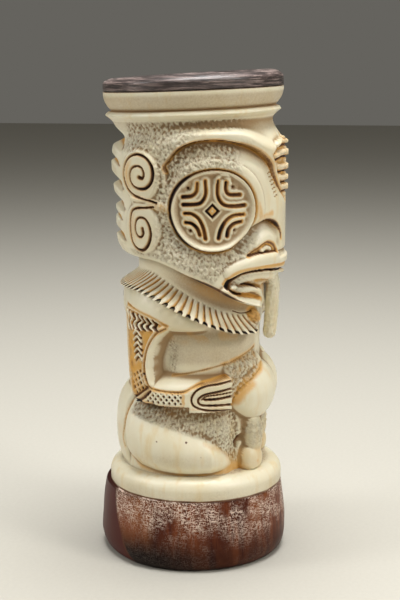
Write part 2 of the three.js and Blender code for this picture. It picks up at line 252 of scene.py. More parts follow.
def arc(centre, radii, start, end, steps):
    """Points of an elliptical arc of (radius, level), from one angle in degrees to another."""
    t = np.radians(np.linspace(start, end, steps))
    return np.stack([centre[0] + radii[0] * np.cos(t), centre[1] + radii[1] * np.sin(t)], -1)


def turned(profile, cols):
    """A closed profile of (radius, level) turned once round: the angle is one parameter, the
    place along the profile the other. Returns the angles and the points."""
    theta = np.linspace(0, 360, cols, endpoint=False)
    r, z = np.asarray(profile).T
    return theta, around(theta[None, :], r[:, None], z[:, None])


# ---------------------------------------------------------------- finishes
class Wire:
    """A shader socket that adds, subtracts and multiplies as a number does; | and & take the
    larger and the smaller of two."""

    def __init__(self, tree, socket):
        self.tree = tree
        self.socket = socket

    def math(self, operation, *values):
        """A Math node of wires and plain numbers."""
        node = self.tree.nodes.new("ShaderNodeMath")
        node.operation = operation
        for slot_in, value in zip(node.inputs, values):
            if isinstance(value, Wire):
                self.tree.links.new(value.socket, slot_in)
            else:
                slot_in.default_value = value
        return Wire(self.tree, node.outputs[0])

    def __add__(self, other):
        return self.math("ADD", self, other)

    def __sub__(self, other):
        return self.math("SUBTRACT", self, other)

    def __rsub__(self, other):
        return self.math("SUBTRACT", other, self)

    def __mul__(self, other):
        return self.math("MULTIPLY", self, other)

    def __or__(self, other):
        """The larger of the two."""
        return self.math("MAXIMUM", self, other)

    def __and__(self, other):
        """The smaller of the two."""
        return self.math("MINIMUM", self, other)

    __radd__ = __add__
    __rmul__ = __mul__

    def between(self, low, high):
        """0 below low, 1 above high, smooth between them."""
        node = self.tree.nodes.new("ShaderNodeMapRange")
        node.interpolation_type = "SMOOTHSTEP"
        node.inputs["From Min"].default_value = low
        node.inputs["From Max"].default_value = high
        self.tree.links.new(self.socket, node.inputs["Value"])
        return Wire(self.tree, node.outputs[0])


class Finish:
    """A material under construction, with one Principled shader."""

    def __init__(self, name, **uniform):
        self.material = bpy.data.materials.new(name)
        self.material.use_nodes = True
        self.tree = self.material.node_tree
        self.shader = self.tree.nodes["Principled BSDF"]
        for socket, value in uniform.items():
            self.shader.inputs[socket.replace("_", " ")].default_value = value
        self.place = self.node("ShaderNodeTexCoord", out="Object")

    def node(self, kind, settings=None, out=0, **values):
        """Adds a node of a kind: its settings first, then the values or links of its sockets. A
        socket goes by its name or, where names repeat, by an underscore and its number."""
        node = self.tree.nodes.new(kind)
        for key, value in (settings or {}).items():
            setattr(node, key, value)
        for key, value in values.items():
            name = key.replace("_", " ")
            target = node.inputs[int(name[1:])] if name[1:].isdigit() else node.inputs[name]
            if isinstance(value, Wire):
                self.tree.links.new(value.socket, target)
            else:
                target.default_value = value
        return Wire(self.tree, node.outputs[out])

    def value(self, attribute):
        """A value kept on the points."""
        return self.node("ShaderNodeAttribute", {"attribute_name": attribute}, out="Fac")

    def noise(self, scale, detail=3.0, stretch=(1, 1, 1), roughness=0.55, distortion=0.0):
        """Cloudy noise with this many features to the metre, times the stretch along each axis."""
        where = self.node("ShaderNodeMapping", Vector=self.place, Scale=stretch)
        return self.node("ShaderNodeTexNoise", Vector=where, Scale=scale, Detail=detail,
                         Roughness=roughness, Distortion=distortion)

    def mix(self, first, second, share):
        """Colour mixed from the first to the second by a share."""
        pair = [colour if isinstance(colour, Wire) else (*colour, 1) for colour in (first, second)]
        return self.node("ShaderNodeMix", {"data_type": "RGBA"}, out=2, _0=share, _6=pair[0],
                         _7=pair[1])

    def set(self, **links):
        """Links wires to the shader's sockets."""
        for socket, wire in links.items():
            self.tree.links.new(wire.socket, self.shader.inputs[socket.replace("_", " ")])

    def bump(self, height, distance, strength=1.0):
        """Roughens the surface by a height that varies between 0 and 1 over a distance in metres."""
        self.set(Normal=self.node("ShaderNodeBump", Height=height, Distance=distance,
                                  Strength=strength))


def bone_finish():
    """Bone-coloured body: cream, with amber and brown stain kept by the carver in the cuts and hollows,
    and painted shade in the same brown under overhangs and in coves."""
    f = Finish("carved_bone", Coat_Roughness=0.3, IOR=1.5, Subsurface_Weight=0.06,
               Subsurface_Radius=(1.0, 0.6, 0.35), Subsurface_Scale=0.0015)
    cloud = f.noise(45, 4)
    streak = f.noise(260, 3, stretch=(1, 1, 0.12))
    patch = f.noise(420, 2)
    speck = f.noise(1500, 3, roughness=0.7)
    crinkle = f.noise(1050, 3, roughness=0.6, distortion=0.9)
    cut = f.value("cut")
    amber = f.value("amber")
    wash_and_shade = f.value("wash_and_shade")
    ivory = f.value("ivory")
    rough = f.value("rough")
    colour = f.mix((0.865, 0.81, 0.625), (0.79, 0.705, 0.485), cloud.between(0.35, 0.72))
    colour = f.mix(colour, (0.78, 0.60, 0.29), streak.between(0.48, 0.75) * ivory * 0.55)
    colour = f.mix(colour, (0.92, 0.86, 0.68), patch.between(0.55, 0.8) * 0.35)
    pits = crinkle.between(0.5, 0.38) * rough
    ragged = wash_and_shade + pits * 0.26 + (speck - 0.5) * 0.4 * wash_and_shade.between(0.02, 0.3)
    # brown of the stain and of painted shade, from wash_and_shade
    colour = f.mix(colour, (0.34, 0.205, 0.085), ragged.between(0.0, 1.0) * 0.92)
    warm = amber + (speck - 0.5) * 0.35 * amber.between(0.05, 0.4)
    colour = f.mix(colour, (0.76, 0.41, 0.085), warm.between(0.05, 0.8) * 0.92)
    colour = f.mix(colour, (0.24, 0.078, 0.018), warm.between(0.8, 1.3) * 0.92)
    deep = cut + (speck - 0.5) * 0.25
    colour = f.mix(colour, (0.17, 0.062, 0.02), deep.between(0.15, 0.5) * 0.92)
    colour = f.mix(colour, (0.013, 0.006, 0.004), deep.between(0.5, 0.9))
    f.set(Base_Color=colour)
    f.set(Roughness=(0.36 + wash_and_shade * 0.3 + speck * 0.08 + cut * 0.2) & 0.85)
    f.set(Coat_Weight=(0.25 - wash_and_shade * 0.3 - cut * 0.2) | 0.0)
    f.bump(patch * 0.15 + speck * 0.1 + crinkle.between(0.3, 0.6) * rough * 0.75, 0.00045, 0.9)
    return f.material


def base_finish():
    """Red-brown block: long vertical grain, a smooth dark maroon side, and fine pale flecks where
    it is scuffed."""
    f = Finish("flecked_base_wood", Coat_Roughness=0.2, IOR=1.4, Specular_IOR_Level=0.12)
    grain = f.noise(160, 5, stretch=(1, 1, 0.16), distortion=0.6)
    figure = f.noise(42, 3, stretch=(1, 1, 0.3), distortion=1.2)
    maroon = f.value("maroon")
    scuffed = f.value("scuffed")
    shade = f.value("shade")
    colour = f.mix((0.066, 0.012, 0.005), (0.21, 0.056, 0.018), grain.between(0.35, 0.68))
    colour = f.mix(colour, (0.36, 0.135, 0.045), figure.between(0.5, 0.75) * 0.6)
    colour = f.mix(colour, (0.07, 0.014, 0.012), maroon * 0.92)
    colour = f.mix(colour, (0.006, 0.001, 0.0007), shade)
    across = f.noise(1900, 2, stretch=(0.3, 0.3, 1.6)).between(0.55, 0.61)
    along = f.noise(1900, 2, stretch=(1.5, 1.5, 0.3)).between(0.57, 0.63)
    dots = f.noise(2400, 2).between(0.53, 0.66)
    where = f.noise(100, 4).between(0.34, 0.56)
    fleck = (across | along | dots) * where * scuffed
    colour = f.mix(colour, (0.80, 0.65, 0.54), fleck * 0.95)
    f.set(Base_Color=colour)
    f.set(Roughness=0.38 + fleck * 0.3 + grain * 0.1)
    f.set(Coat_Weight=(0.06 - fleck * 0.2) | 0.0)
    f.bump(grain * 0.5 + (1 - fleck) * 0.5, 0.00015, 0.6)
    return f.material


def rim_finish():
    """Dark polished rim: purple-brown wood with its grain running round the mouth, and pale streaks in
    the grain that also stand for painted reflection in the polish.
    """
    f = Finish("dark_rim_wood", Coat_Roughness=0.2, IOR=1.5)
    rings = f.noise(1500, 5, stretch=(0.05, 0.05, 1.0), roughness=0.75, distortion=0.2)
    cloud = f.noise(60, 3)
    colour = f.mix((0.030, 0.019, 0.017), (0.19, 0.135, 0.12), rings.between(0.42, 0.62))
    # pale grain streaks, lightened partly as painted reflection of the sky in the polish
    colour = f.mix(colour, (0.42, 0.33, 0.30), cloud.between(0.4, 0.7) * rings.between(0.52, 0.6)
                   * 0.75)
    f.set(Base_Color=colour)
    f.set(Roughness=0.33 + rings * 0.2)
    f.set(Coat_Weight=0.45 - rings * 0.3)
    f.bump(rings, 0.0003, 0.9)
    return f.material


def steel_finish():
    """Brushed steel liner, with fine marks running round it."""
    f = Finish("brushed_liner_steel", Metallic=1.0)
    marks = f.noise(900, 3, stretch=(0.05, 0.05, 1.0))
    f.set(Base_Color=f.mix((0.60, 0.60, 0.60), (0.74, 0.74, 0.75), marks))
    f.set(Roughness=0.26 + marks * 0.16)
    f.bump(marks, 0.00005, 0.4)
    return f.material


def felt_finish():
    """Dark green pressed felt."""
    f = Finish("green_felt", Roughness=0.95, Sheen_Weight=0.4)
    fibre = f.noise(2200, 4, distortion=2.0)
    f.set(Base_Color=f.mix((0.015, 0.045, 0.022), (0.05, 0.11, 0.06), fibre.between(0.3, 0.7)))
    f.bump(fibre, 0.0003)
    return f.material


def brass_finish():
    """Plain brass, a little dulled."""
    f = Finish("screw_brass", Metallic=1.0)
    dull = f.noise(700, 3)
    f.set(Base_Color=f.mix((0.62, 0.44, 0.17), (0.78, 0.60, 0.28), dull))
    f.set(Roughness=0.28 + dull * 0.25)
    f.bump(dull, 0.00003)
    return f.material


# ---------------------------------------------------------------- the carved skin
def lean(a):
    """How much higher the leaning rim lies at an angle from the front than on the axis."""
    return math.tan(TILT) * RIM_RADIUS * cosine(a)


def ruff_edge(a):
    """Level of the ruff's lower edge: low in front, high behind."""
    return 91.8 + 15.7 * ramp(42, 135, a)


def jaw_line(a):
    """Level of the head's lower edge."""
    return 101 + 18.6 * ramp(25, 118, a)


def bead_crease(a):
    """Level of the crease between the head and the bead that rings it."""
    return LIP - CREASE + lean(a)


def bead_sweep(below):
    """Radius of the hollow sweep from the bead down to the neck, at a depth below the lip: the
    bead's overhang falls off as a power of the share of the way down."""
    share = np.clip(1 - (below - BEAD_MIDDLE) / 4.6, 0, 1)
    return NECK_RADIUS + (BEAD_RADIUS - NECK_RADIUS) * share**1.9


def bore(theta, z):
    """Radius to the wall of the leaning hollow that takes the liner: where a ray from the figure's
    middle meets the hollow's circle, which lies further back the deeper it is."""
    depth = np.clip(LIP - z, SEAT_DEPTH, LINER_DEPTH)
    t = (LINER_DEPTH - depth) / (LINER_DEPTH - SEAT_DEPTH)
    wall = blend(LINER_BOTTOM, LINER_TOP, t * t) + GAP
    shift = depth * math.tan(TILT)
    forward = shift * cosine(theta)
    return forward + np.sqrt(wall**2 - shift**2 + forward**2)


def columns(count, finest_from, finest_to):
    """Angles from -180 to 180 degrees, twice as close together where the carving is finest."""
    even = np.linspace(-180, 180, 3601)
    density = 1 + 1.1 * band(np.abs(even), finest_from, finest_to, 8)
    total = np.concatenate([[0], np.cumsum((density[1:] + density[:-1]) / 2)])
    return np.interp(np.arange(count) / count, total / total[-1], even)


STAIN_AND_SHADE_KEYS = ("cut", "amber", "wash_and_shade", "ivory", "rough")  # kept on the points, for the bone finish; wash_and_shade carries painted shade as well as stain


class Relief:
    """One carved stretch of the figure: radius, cut lines, stains and painted shade over a grid of
    angle and level.
    """

    def __init__(self, theta, low, high, rows):
        """Columns stand at the angles theta. Rows are spread evenly from low to high, two functions
        of the angle. a is the angle from the front, and s the length along the skin."""
        share = np.linspace(0, 1, rows)[:, None]
        self.theta = np.broadcast_to(theta, (rows, len(theta)))
        self.a = np.abs(self.theta)
        self.z = blend(low(self.a), high(self.a), share)
        self.s = self.a * ARC
        self.r = np.zeros(self.a.shape)
        for key in STAIN_AND_SHADE_KEYS:
            setattr(self, key, np.zeros(self.a.shape))

    def stain(self, kind, amount):
        """Keeps the darker of the mark that is there and a new one; most marks are stains, and some are
        painted shade.
        """
        setattr(self, kind, np.maximum(getattr(self, kind), amount))

    def groove(self, path, width, depth, dark=1.0, amber=0.0, halo=0.8):
        """Carves a steep-sided cut along a line, as deep as depth and as wide as width from its middle,
        with uneven dark in it and amber out to a halo past its edge. The dark is stain, and at the jaw
        it is painted shadow. width may be a function of how far along the line a point lies."""
        d, along = reach(path, self.s, self.z, 4.0)
        width = width(along) if callable(width) else width
        uneven = 0.86 + 0.24 * ripple(self.s * 0.45, self.z * 0.45, 3.0)
        self.r = self.r - depth * ramp(1.05 * width, 0.4 * width, d)
        self.stain("cut", dark * uneven * ramp(1.1 * width, 0.45 * width, d))
        if amber:
            self.stain("amber", amber * uneven * ramp(width + halo, 0.7 * width, d))

    def welt(self, path, width, height):
        """Leaves a rounded ridge standing along a line."""
        d = reach(path, self.s, self.z, 4.0)[0]
        self.r = self.r + height * dome(np.minimum(d / width, 1))

    def ridge(self, path, width, height):
        """Leaves a rounded ridge along a line, rubbed nearly clean of the stain round it."""
        self.welt(path, width, height)
        d = reach(path, self.s, self.z, 4.0)[0]
        clean = ramp(0.9 * width, 0.4 * width, d)
        self.wash_and_shade = self.wash_and_shade * (1 - 0.9 * clean)
        self.amber = self.amber * (1 - 0.7 * clean)

    def tint(self, kind, amount, path, width):
        """Stains a soft band along a line."""
        d = reach(path, self.s, self.z, width + 1)[0]
        self.stain(kind, amount * ramp(width, 0.2 * width, d))

    def stipple(self, where, pitch=1.35, depth=0.5, stain=0.42, seed=1.0):
        """Punches a close scatter of small irregular pits, a pitch apart, with stain left in them.
        A ripple bends the scatter and makes the pits uneven."""
        u, v = self.theta * ARC / pitch, self.z / pitch
        warp = 0.5 * ripple(u * 2.1, v * 2.1, seed)
        uneven = 0.75 + 0.25 * ripple(u * 0.9, v * 0.9, seed + 1)
        hole = ramp(0.8, 0.1, scatter(u + warp, v - warp, seed)) * uneven
        self.r = self.r - where * (depth * (hole - 0.3) + 0.28 * ripple(u * 2.3, v * 2.6, seed + 2))
        self.stain("wash_and_shade", where * (stain * hole + 0.12))
        self.stain("rough", where)

    def weather(self):
        """Rubs stain into every hollow, fine and broad, and wears it off every proud edge. A hollow
        lies below the moving average of the radius round it, and an edge above it."""
        fine = soften(soften(self.r, 2), 2) - self.r
        broad = soften(soften(self.r, 9), 9) - self.r
        self.stain("wash_and_shade", np.clip(2.6 * fine, 0, 0.85) + np.clip(0.5 * broad - 0.04, 0, 0.55))
        worn = np.clip(-fine / 0.2, 0, 1)
        self.wash_and_shade = self.wash_and_shade * (1 - 0.75 * worn)
        self.amber = self.amber * (1 - 0.3 * worn)

    def make(self, name):
        """Closes the skin with the wall of the hollow inside it, never within 1 mm of the carving
        at the same column."""
        self.weather()
        inner_z = blend(self.z[0], self.z[-1], np.linspace(1, 0, 4)[:, None])
        inner_r = np.minimum(bore(self.theta[0], inner_z), self.r.min(0) - 1.0)
        points = np.vstack([around(self.theta, self.r, self.z),
                            around(self.theta[0], inner_r, inner_z)])
        marks = {}
        for key in STAIN_AND_SHADE_KEYS:
            marks[key] = np.vstack([getattr(self, key), np.zeros(inner_z.shape)])
        place(piece(name, points, marks, sharp=80.0), "carved_figure", BONE)


# ---- head
EYE = (70.3, 139.3)
EYE_HALF = (28.2, 15.3)  # degrees, millimetres


def eye_reach(f):
    """Distance from the middle of the eye, where its rim is 1."""
    return np.hypot((f.a - EYE[0]) / EYE_HALF[0], (f.z - EYE[1]) / EYE_HALF[1])


def carve_eye(f):
    """Round eye: a dish with a plain sloping margin, and in its floor a cross of cut quarters round
    a diamond. Depth goes by the distance from the eye's middle as a share of its half-width."""
    e = eye_reach(f)
    side = np.degrees(np.arctan2(f.z - EYE[1], (EYE[0] - f.a) * ARC))  # 0 towards the nose, 90 up
    inside = ramp(1.0, 0.985, e)
    floor = ramp(0.99, 0.80, e)
    f.r = f.r + inside * blend(0.9, -1.5, floor)
    height = (f.z - EYE[1]) / EYE_HALF[1]
    # tan stain on the floor; on the margin, painted shade that grows towards the top, which faces down
    f.stain("wash_and_shade", inside * (0.8 * floor + 0.9 * ramp(-0.3, 0.8, height) * (1 - floor)))
    # the ring's dark line is wider and darker on the side away from the nose: painted shadow in the
    # recess there
    thick = 0.3 + 0.55 * band(np.abs(side), 128, 180, 24) + 0.5 * band(side, -60, -20, 12)
    d = np.abs(e - 1.0) * 15.6
    f.r = f.r - 1.1 * ramp(thick + 0.35, 0.1, d)
    f.stain("cut", ramp(thick + 0.2, 0.35 * thick, d) * blend(0.6, 1.0, ramp(0.4, 0.65, thick)))
    f.stain("amber", 0.85 * ramp(thick + 1.2, 0.2, d) * ramp(0.965, 1.0, e))
    f.tint("amber", 0.5, line((112, 140.8), (105, 140.4), (99, 139.6)), 2.6)
    f.tint("amber", 0.55, line((41.5, 141), (38, 136.5), (33, 135.6), (27, 137)), 2.4)
    f.tint("amber", 0.55, line((43, 131.5), (38, 135), (32, 136.4)), 2.0)
    quarters = (
        ((75.6, 150.4), (75.2, 146), (77, 143.2), (80.5, 141.9), (89.8, 141.6)),
        ((80.6, 149.5), (81.2, 146.6), (84.2, 144.9), (90, 144.5)),
        ((67.6, 150.4), (67.6, 145.4), (65.5, 142.6), (62, 141.2), (56, 140.8), (49, 141)),
        ((62.3, 149.8), (62.2, 146.9), (59.6, 145.2), (52.4, 145)),
        ((89, 138.4), (84, 138.2), (79.5, 136.3), (76.7, 133), (75.2, 129)),
        ((88.4, 135.0), (84.2, 134.6), (80.6, 132.9), (78.8, 130.4)),
        ((49.6, 137.6), (57, 137.3), (62, 135.4), (65.3, 132.2), (66.6, 129)),
        ((51.4, 135), (56.6, 134.3), (60.2, 132.4), (60.9, 129.8)),
    )
    dark = 0.85 + 0.4 * ripple(f.s * 0.33, f.z * 0.33, 2.2)
    for points in quarters:
        path = line(*points)
        f.welt(path, 2.1, 0.6)
        lip = reach(path, f.s, f.z)[0]
        f.wash_and_shade = f.wash_and_shade * (1 - 0.4 * ramp(1.9, 1.5, lip) * ramp(0.8, 1.2, lip))
        f.stain("amber", ramp(1.15, 0.75, lip))
        f.groove(path, lambda t: 0.66 + 0.26 * t, 1.3, dark=dark)
    for spot in ((86.6, 147.8), (57.2, 148), (85, 132), (56, 132)):
        d = np.hypot((f.a - spot[0]) * ARC, f.z - spot[1])
        f.r = f.r + 0.35 * dome(np.minimum(np.abs(d - 1.3) / 0.8, 1)) - 0.8 * ramp(0.8, 0.2, d)
        f.stain("cut", 0.85 * ramp(0.7, 0.2, d))
    f.welt(line((68.6, 150.2), (67.6, 151.8), (64.8, 152.4), (61.4, 151.4), (59.8, 149.6)), 0.9, 0.8)
    lozenge = np.abs(f.a - 70.7) * ARC / 2.75 + np.abs(f.z - 139.2) / 2.65
    edge = np.abs(lozenge - 0.86)
    f.r = f.r - 0.9 * ramp(0.3, 0.1, edge) + 0.3 * dome(np.minimum(np.abs(lozenge - 1.3) / 0.25, 1))
    f.stain("cut", 0.95 * ramp(0.34, 0.12, edge))
    f.stain("amber", 1.15 * ramp(0.75, 0.5, lozenge) * ramp(0.12, 0.3, lozenge))


def carve_brow(f):
    """Arched brow: a smooth roll over a thin line, a deep cove under it that shallows away from the
    line, and a raised band round the eye."""
    arch = line((101.2, 153.6), (102.4, 155.3), (100.1, 157.2), (96.3, 160), (92.2, 162.1),
                (87.4, 163.6), (80.8, 164.8), (72.7, 165.3), (64.4, 165.1), (55.5, 164.1),
                (45.6, 162.5), (38, 160.5), (31.4, 157.9), (26.7, 154.9), (23, 151), (18.8, 147.4),
                (11.6, 143.5), (4, 141.4), (0, 141))
    under = np.vstack([arch, line((0, 141), (14, 139.5), (28, 135.5), (40, 131), (70, 131), (98, 140),
                                  (101, 150), (101.2, 153.6), steps=2)])
    d = reach(arch, f.s, f.z, 12.0)[0]
    inside = into(under, f.s, f.z, 1.0) > 0
    e = eye_reach(f)
    cove = inside * ramp(7.5, 0.0, d) * ramp(1.02, 1.12, e)
    cove = cove * blend(0.45, 1.0, ramp(104, 88, f.a)) * ramp(8, 44, f.a)
    f.r = f.r - 3.4 * cove
    # painted shade in the cove, darkest right under the brow line
    f.stain("wash_and_shade", 0.6 * cove * ramp(7, 0.5, d))
    hem = ramp(100, 86, f.a) * ramp(128, 140, f.z) * dome(np.clip((e - 1.13) / 0.13, -1, 1))
    f.r = f.r + 0.9 * hem * inside
    roll = reach(line((92, 163.5), (86, 165.2), (75, 167), (61, 167.3), (46, 165.4), (36, 163.4),
                      (28, 161), (22, 157)), f.s, f.z)[0]
    f.r = f.r + 0.9 * ramp(4.4, 0.6, roll) * (1 - inside)
    f.groove(arch, lambda t: 0.34 + 0.35 * ramp(0.08, 0.0, t) + 0.25 * ramp(0.6, 0.95, t), 0.7,
             dark=0.52, amber=0.9, halo=1.0)
    back_of_cove = inside * ramp(70, 84, f.a) * ramp(104, 100, f.a) * ramp(130, 145, f.z)
    f.stipple(back_of_cove * ramp(1.05, 1.2, e), 1.2, 0.4, 0.5, 2.0)
    for k in range(7):
        at = 151.5 - 1.5 * k
        edge = 23.5 + 0.62 * (at - 151.5)
        f.groove(line((edge + 1.0, at + 1.0), (edge + 5.2, at + 0.4), steps=2), 0.28, 0.4, dark=0.45,
                 amber=0.4, halo=0.2)


def carve_scrolls(f):
    """Two ear scrolls, one over the other, each a raised disc with one cut line coiled from its
    middle out."""
    upper = line((119.6, 151.2), (117, 150.9), (115.6, 152.6), (117.4, 154.8), (121.5, 155.3),
                 (125.8, 154.2), (127.9, 151.4), (126, 148.4), (121, 147), (115, 147.2),
                 (110.8, 149.2), (109, 152), (109.8, 155.6), (114, 158.5), (121, 159.6),
                 (128.6, 158.1), (133.3, 154.4), (133.8, 150.4), (130.6, 146.6), (124.6, 144.3),
                 (116, 143.2), (107.5, 141.9))
    lower = line((119.3, 131.9), (118.9, 129.9), (121.6, 128.6), (125, 129.6), (126.2, 132.2),
                 (124.4, 135.1), (120.4, 136.1), (115.8, 135.4), (112.9, 132.4), (112.7, 128.8),
                 (115.4, 125.4), (119.8, 123.8), (125, 124.2), (129.4, 126.6), (131.3, 130.4),
                 (130.8, 135), (128, 138.4), (122.6, 139.6), (116.4, 139.9), (110, 140.4))
    coils = (((121.2, 151.6), 7.9, upper), ((121.4, 131.9), 7.8, lower))
    for centre, size, path in coils:
        d = np.hypot((f.a - centre[0]) * ARC, f.z - centre[1])
        f.r = f.r + 1.3 * ramp(size + 2.4, size + 0.9, d)
        f.stain("wash_and_shade", 0.3 * band(d, size + 1.4, size + 2.8, 0.9))
        f.groove(path, lambda t: 0.5 + 0.35 * band(t, 0.42, 0.6, 0.1) + 0.4 * ramp(0.12, 0, t), 1.25,
                 dark=0.95, amber=0.75, halo=0.8)
        f.stain("amber", 0.5 * ramp(size + 0.4, size - 1.2, d) * ramp(121, 131, f.a))
    wedge = line((127, 142.2), (119, 142.4), (110, 141.4), (102, 140.2))
    f.welt(wedge, 1.8, 1.0)


def carve_nose(f):
    """Nose: a wing hollowed out under the eye's line, with a small arched nostril over the lip."""
    hood = line((58, 125.4), (55.5, 126.4), (52.4, 127.9), (49.1, 129.4), (45.7, 130.9),
                (42.1, 132.6), (37.3, 134), (31.8, 134.8), (25.4, 134.3), (19.9, 132.7), (16, 130.7),
                (13.2, 128.4), (12.8, 126.2))
    under = np.vstack([hood, line((12.8, 126.2), (12, 121), (30, 120), (48, 121), (58, 125.4),
                                  steps=2)])
    d = reach(hood, f.s, f.z, 9.0)[0]
    inside = into(under, f.s, f.z, 1.0) > 0
    hollow = inside * ramp(6.5, 0.0, d)
    f.r = f.r - 2.9 * hollow * ramp(60, 50, f.a) * ramp(10, 26, f.a)
    # painted shade in the nose wing, darkest under the hood line
    f.stain("wash_and_shade", 0.42 * hollow * ramp(6, 0.5, d) * ramp(10, 22, f.a))
    f.groove(hood, lambda t: 0.75 - 0.5 * t, 0.6, dark=0.95, amber=0.8, halo=0.7)
    f.stipple(inside * ramp(34, 44, f.a) * ramp(121.5, 123, f.z), 1.1, 0.25, 0.25, 2.5)
    arch = line((47, 121.9), (43.8, 123.2), (39.1, 124.3), (34.9, 125.6), (30.4, 126.2),
                (25.1, 125.2), (21.2, 123.4), (19.6, 121.8))
    f.groove(arch, 0.6, 0.7, dark=0.55, amber=1.0, halo=0.9)
    nostril = np.vstack([arch, line((19.6, 121.8), (33, 122.4), (47, 121.9), steps=2)])
    pocket = into(nostril, f.s, f.z, 2.0)
    f.r = f.r - 1.6 * ramp(0.1, 1.1, pocket)
    f.stain("wash_and_shade", 0.6 * ramp(0.1, 1.0, pocket))
    f.welt(line((36, 123.4), (31.5, 124.2), (28, 123.6)), 1.0, 1.7)
    f.groove(line((46.4, 121.9), (40, 122.4), (33.8, 122.6), (26, 122.5), (20, 121.9)), 0.5, 1.1,
             dark=0.9, amber=0.5)
    f.r = f.r - 1.3 * ramp(24, 14, f.a) * band(f.z, 119.4, 121.8, 0.9)


def carve_mouth(f):
    """Mouth: a rolled upper lip over a deep cut, a second lip inside it, the tongue's root, and a
    rolled lower lip over a channel and the chin. Below the cut the front is flat, for the tongue."""
    bite = line((62.1, 110.8), (61, 112.2), (58.8, 113.3), (54.6, 114.5), (50.6, 115.3),
                (43.6, 115.8), (34.7, 115.8), (24.7, 115.3), (12, 114.4), (0, 114))
    open_part = np.vstack([bite, line((0, 114), (0, 101), (30, 101.5), (50, 104), (58, 108),
                                      (62.1, 110.8), steps=3)])
    mouth = into(open_part, f.s, f.z, 9.0)
    f.r = f.r - 2.5 * ramp(-0.2, 1.4, mouth)
    f.welt(line((60, 116), (55.5, 117.5), (47.7, 118.9), (38.7, 119.7), (27.7, 119.8), (12.3, 119.3),
                (0, 119)), 2.4, 1.3)
    f.tint("amber", 0.95, line((63.8, 112.1), (61.7, 113.8), (58.5, 115.3), (53.2, 116.5),
                               (45.9, 117), (36.7, 117), (24.9, 116.7), (12.1, 116.2), (0, 116)), 1.3)
    f.groove(bite, lambda t: 0.5 + 0.7 * ramp(0.4, 0.12, t) + 0.35 * ramp(0.7, 1, t), 1.6, dark=1.1,
             amber=0.5)
    f.welt(line((58.7, 110.9), (55.2, 112.1), (50.2, 113.1), (42.1, 113.8), (32.5, 113.7),
                (21.3, 113)), 1.7, 1.9)
    f.tint("wash_and_shade", 0.4, line((55, 113), (42, 114.4), (22, 113.6)), 1.3)
    f.groove(line((49.5, 111.2), (46, 111), (43, 110.6), (39.3, 109.6)), 0.55, 0.9, dark=0.95,
             amber=0.5)
    root = into(line((46, 112), (40.4, 112.7), (30, 112.4), (17, 111.4), (5, 110), (0, 106),
                     (12, 103.5), (22, 104.6), (31.5, 107.8), (39, 110), closed=True), f.s, f.z)
    f.r = f.r + 1.9 * ramp(-0.4, 1.4, root)
    f.stipple(ramp(-0.3, 0.6, root), 0.9, 0.35, 0.35, 3.0)
    f.stain("amber", 0.62 * ramp(-0.6, 0.4, root) * ramp(8, 30, f.a)
            * (0.9 + 0.4 * ripple(f.a * 0.7, f.z, 2.0)))
    f.welt(line((58.3, 110.2), (53.5, 109.4), (48.4, 109), (42, 109), (36.8, 107.9), (31.7, 106.4),
                (22, 104.4), (10, 103.2)), 1.25, 2.5)
    channel = line((60.5, 109.8), (58.6, 109), (56.3, 108.3), (51.3, 107.3), (45, 106.7),
                   (40.1, 105.9), (34.6, 104.7), (28, 103.6))
    f.groove(channel, 0.75, 0.5, dark=0.0, amber=0.85, halo=0.5)
    f.groove(line((60.5, 109.6), (58.6, 108.8), (56.3, 108.2), (52, 107.5), (49.5, 107.4)), 0.6, 0.6,
             dark=0.85, amber=0.8)
    for spot, size in (((49, 107.2), 0.7), ((43.4, 106.8), 0.75), ((37.4, 105.2), 1.0)):
        d = np.hypot((f.a - spot[0]) * ARC / 1.6, f.z - spot[1])
        f.stain("amber", ramp(1.3 * size, 0.3 * size, d))
    f.welt(line((63.5, 109), (61.5, 108.2), (58, 106.6), (51.2, 104.9), (42.1, 103.9), (31, 103.1),
                (15, 102.4), (0, 102.2)), 1.75, 2.3)
    flat = 28.2 / np.maximum(cosine(f.a), 0.3) + 9 * ramp(110.4, 112.6, f.z)
    f.r = -softest(-f.r, -flat, 0.7)
    # painted shadow in the gap beside the tongue
    shadow_beside_tongue = np.hypot((f.a - 9) * ARC / 1.4, (f.z - 108.5) / 2.6)
    f.stain("amber", 1.1 * ramp(1.6, 0.6, shadow_beside_tongue) * (f.z < 113))


def carve_panel(f):
    """Panel on the forehead: raised bars over cut lines, which bend across a sunk and stained
    ground."""
    outline = line((29.5, 158.6), (27.5, 160.6), (20, 163.3), (10, 165.2), (0, 165.9), (0, 140),
                   (11, 142.6), (16, 146.6), (21, 151.2), (25.5, 155.2), closed=True, steps=4)
    depth_in = into(outline, f.s, f.z)
    ground = ramp(0.7, 1.2, depth_in)
    f.r = f.r - 1.5 * ground
    f.stain("amber", 0.45 * ramp(-0.8, 0.6, depth_in))
    f.stain("wash_and_shade", 0.35 * ground)
    bars = ((162.6, 22, 0.9), (158.6, 25, 0.4), (154.2, 20, -0.6), (150.2, 16, -0.8),
            (146.4, 11.5, -0.6))
    for level, tip, rise in bars:
        bar = line((tip, level), (0.6 * tip, level + rise), (0.25 * tip, level + 1.2 * rise),
                   (0, level + rise))
        f.welt(bar, 1.25, 1.7)
        f.groove(line((tip, level - 1.9), (0.5 * tip, level - 1.9 + rise), (0, level - 1.8 + rise)),
                 0.6, 0.5, dark=0.9, amber=0.9)
    f.groove(line((26, 159.4), (20, 161.6), (10, 163.6), (0, 164.2)), 0.4, 0.4, dark=0.5, amber=0.8)


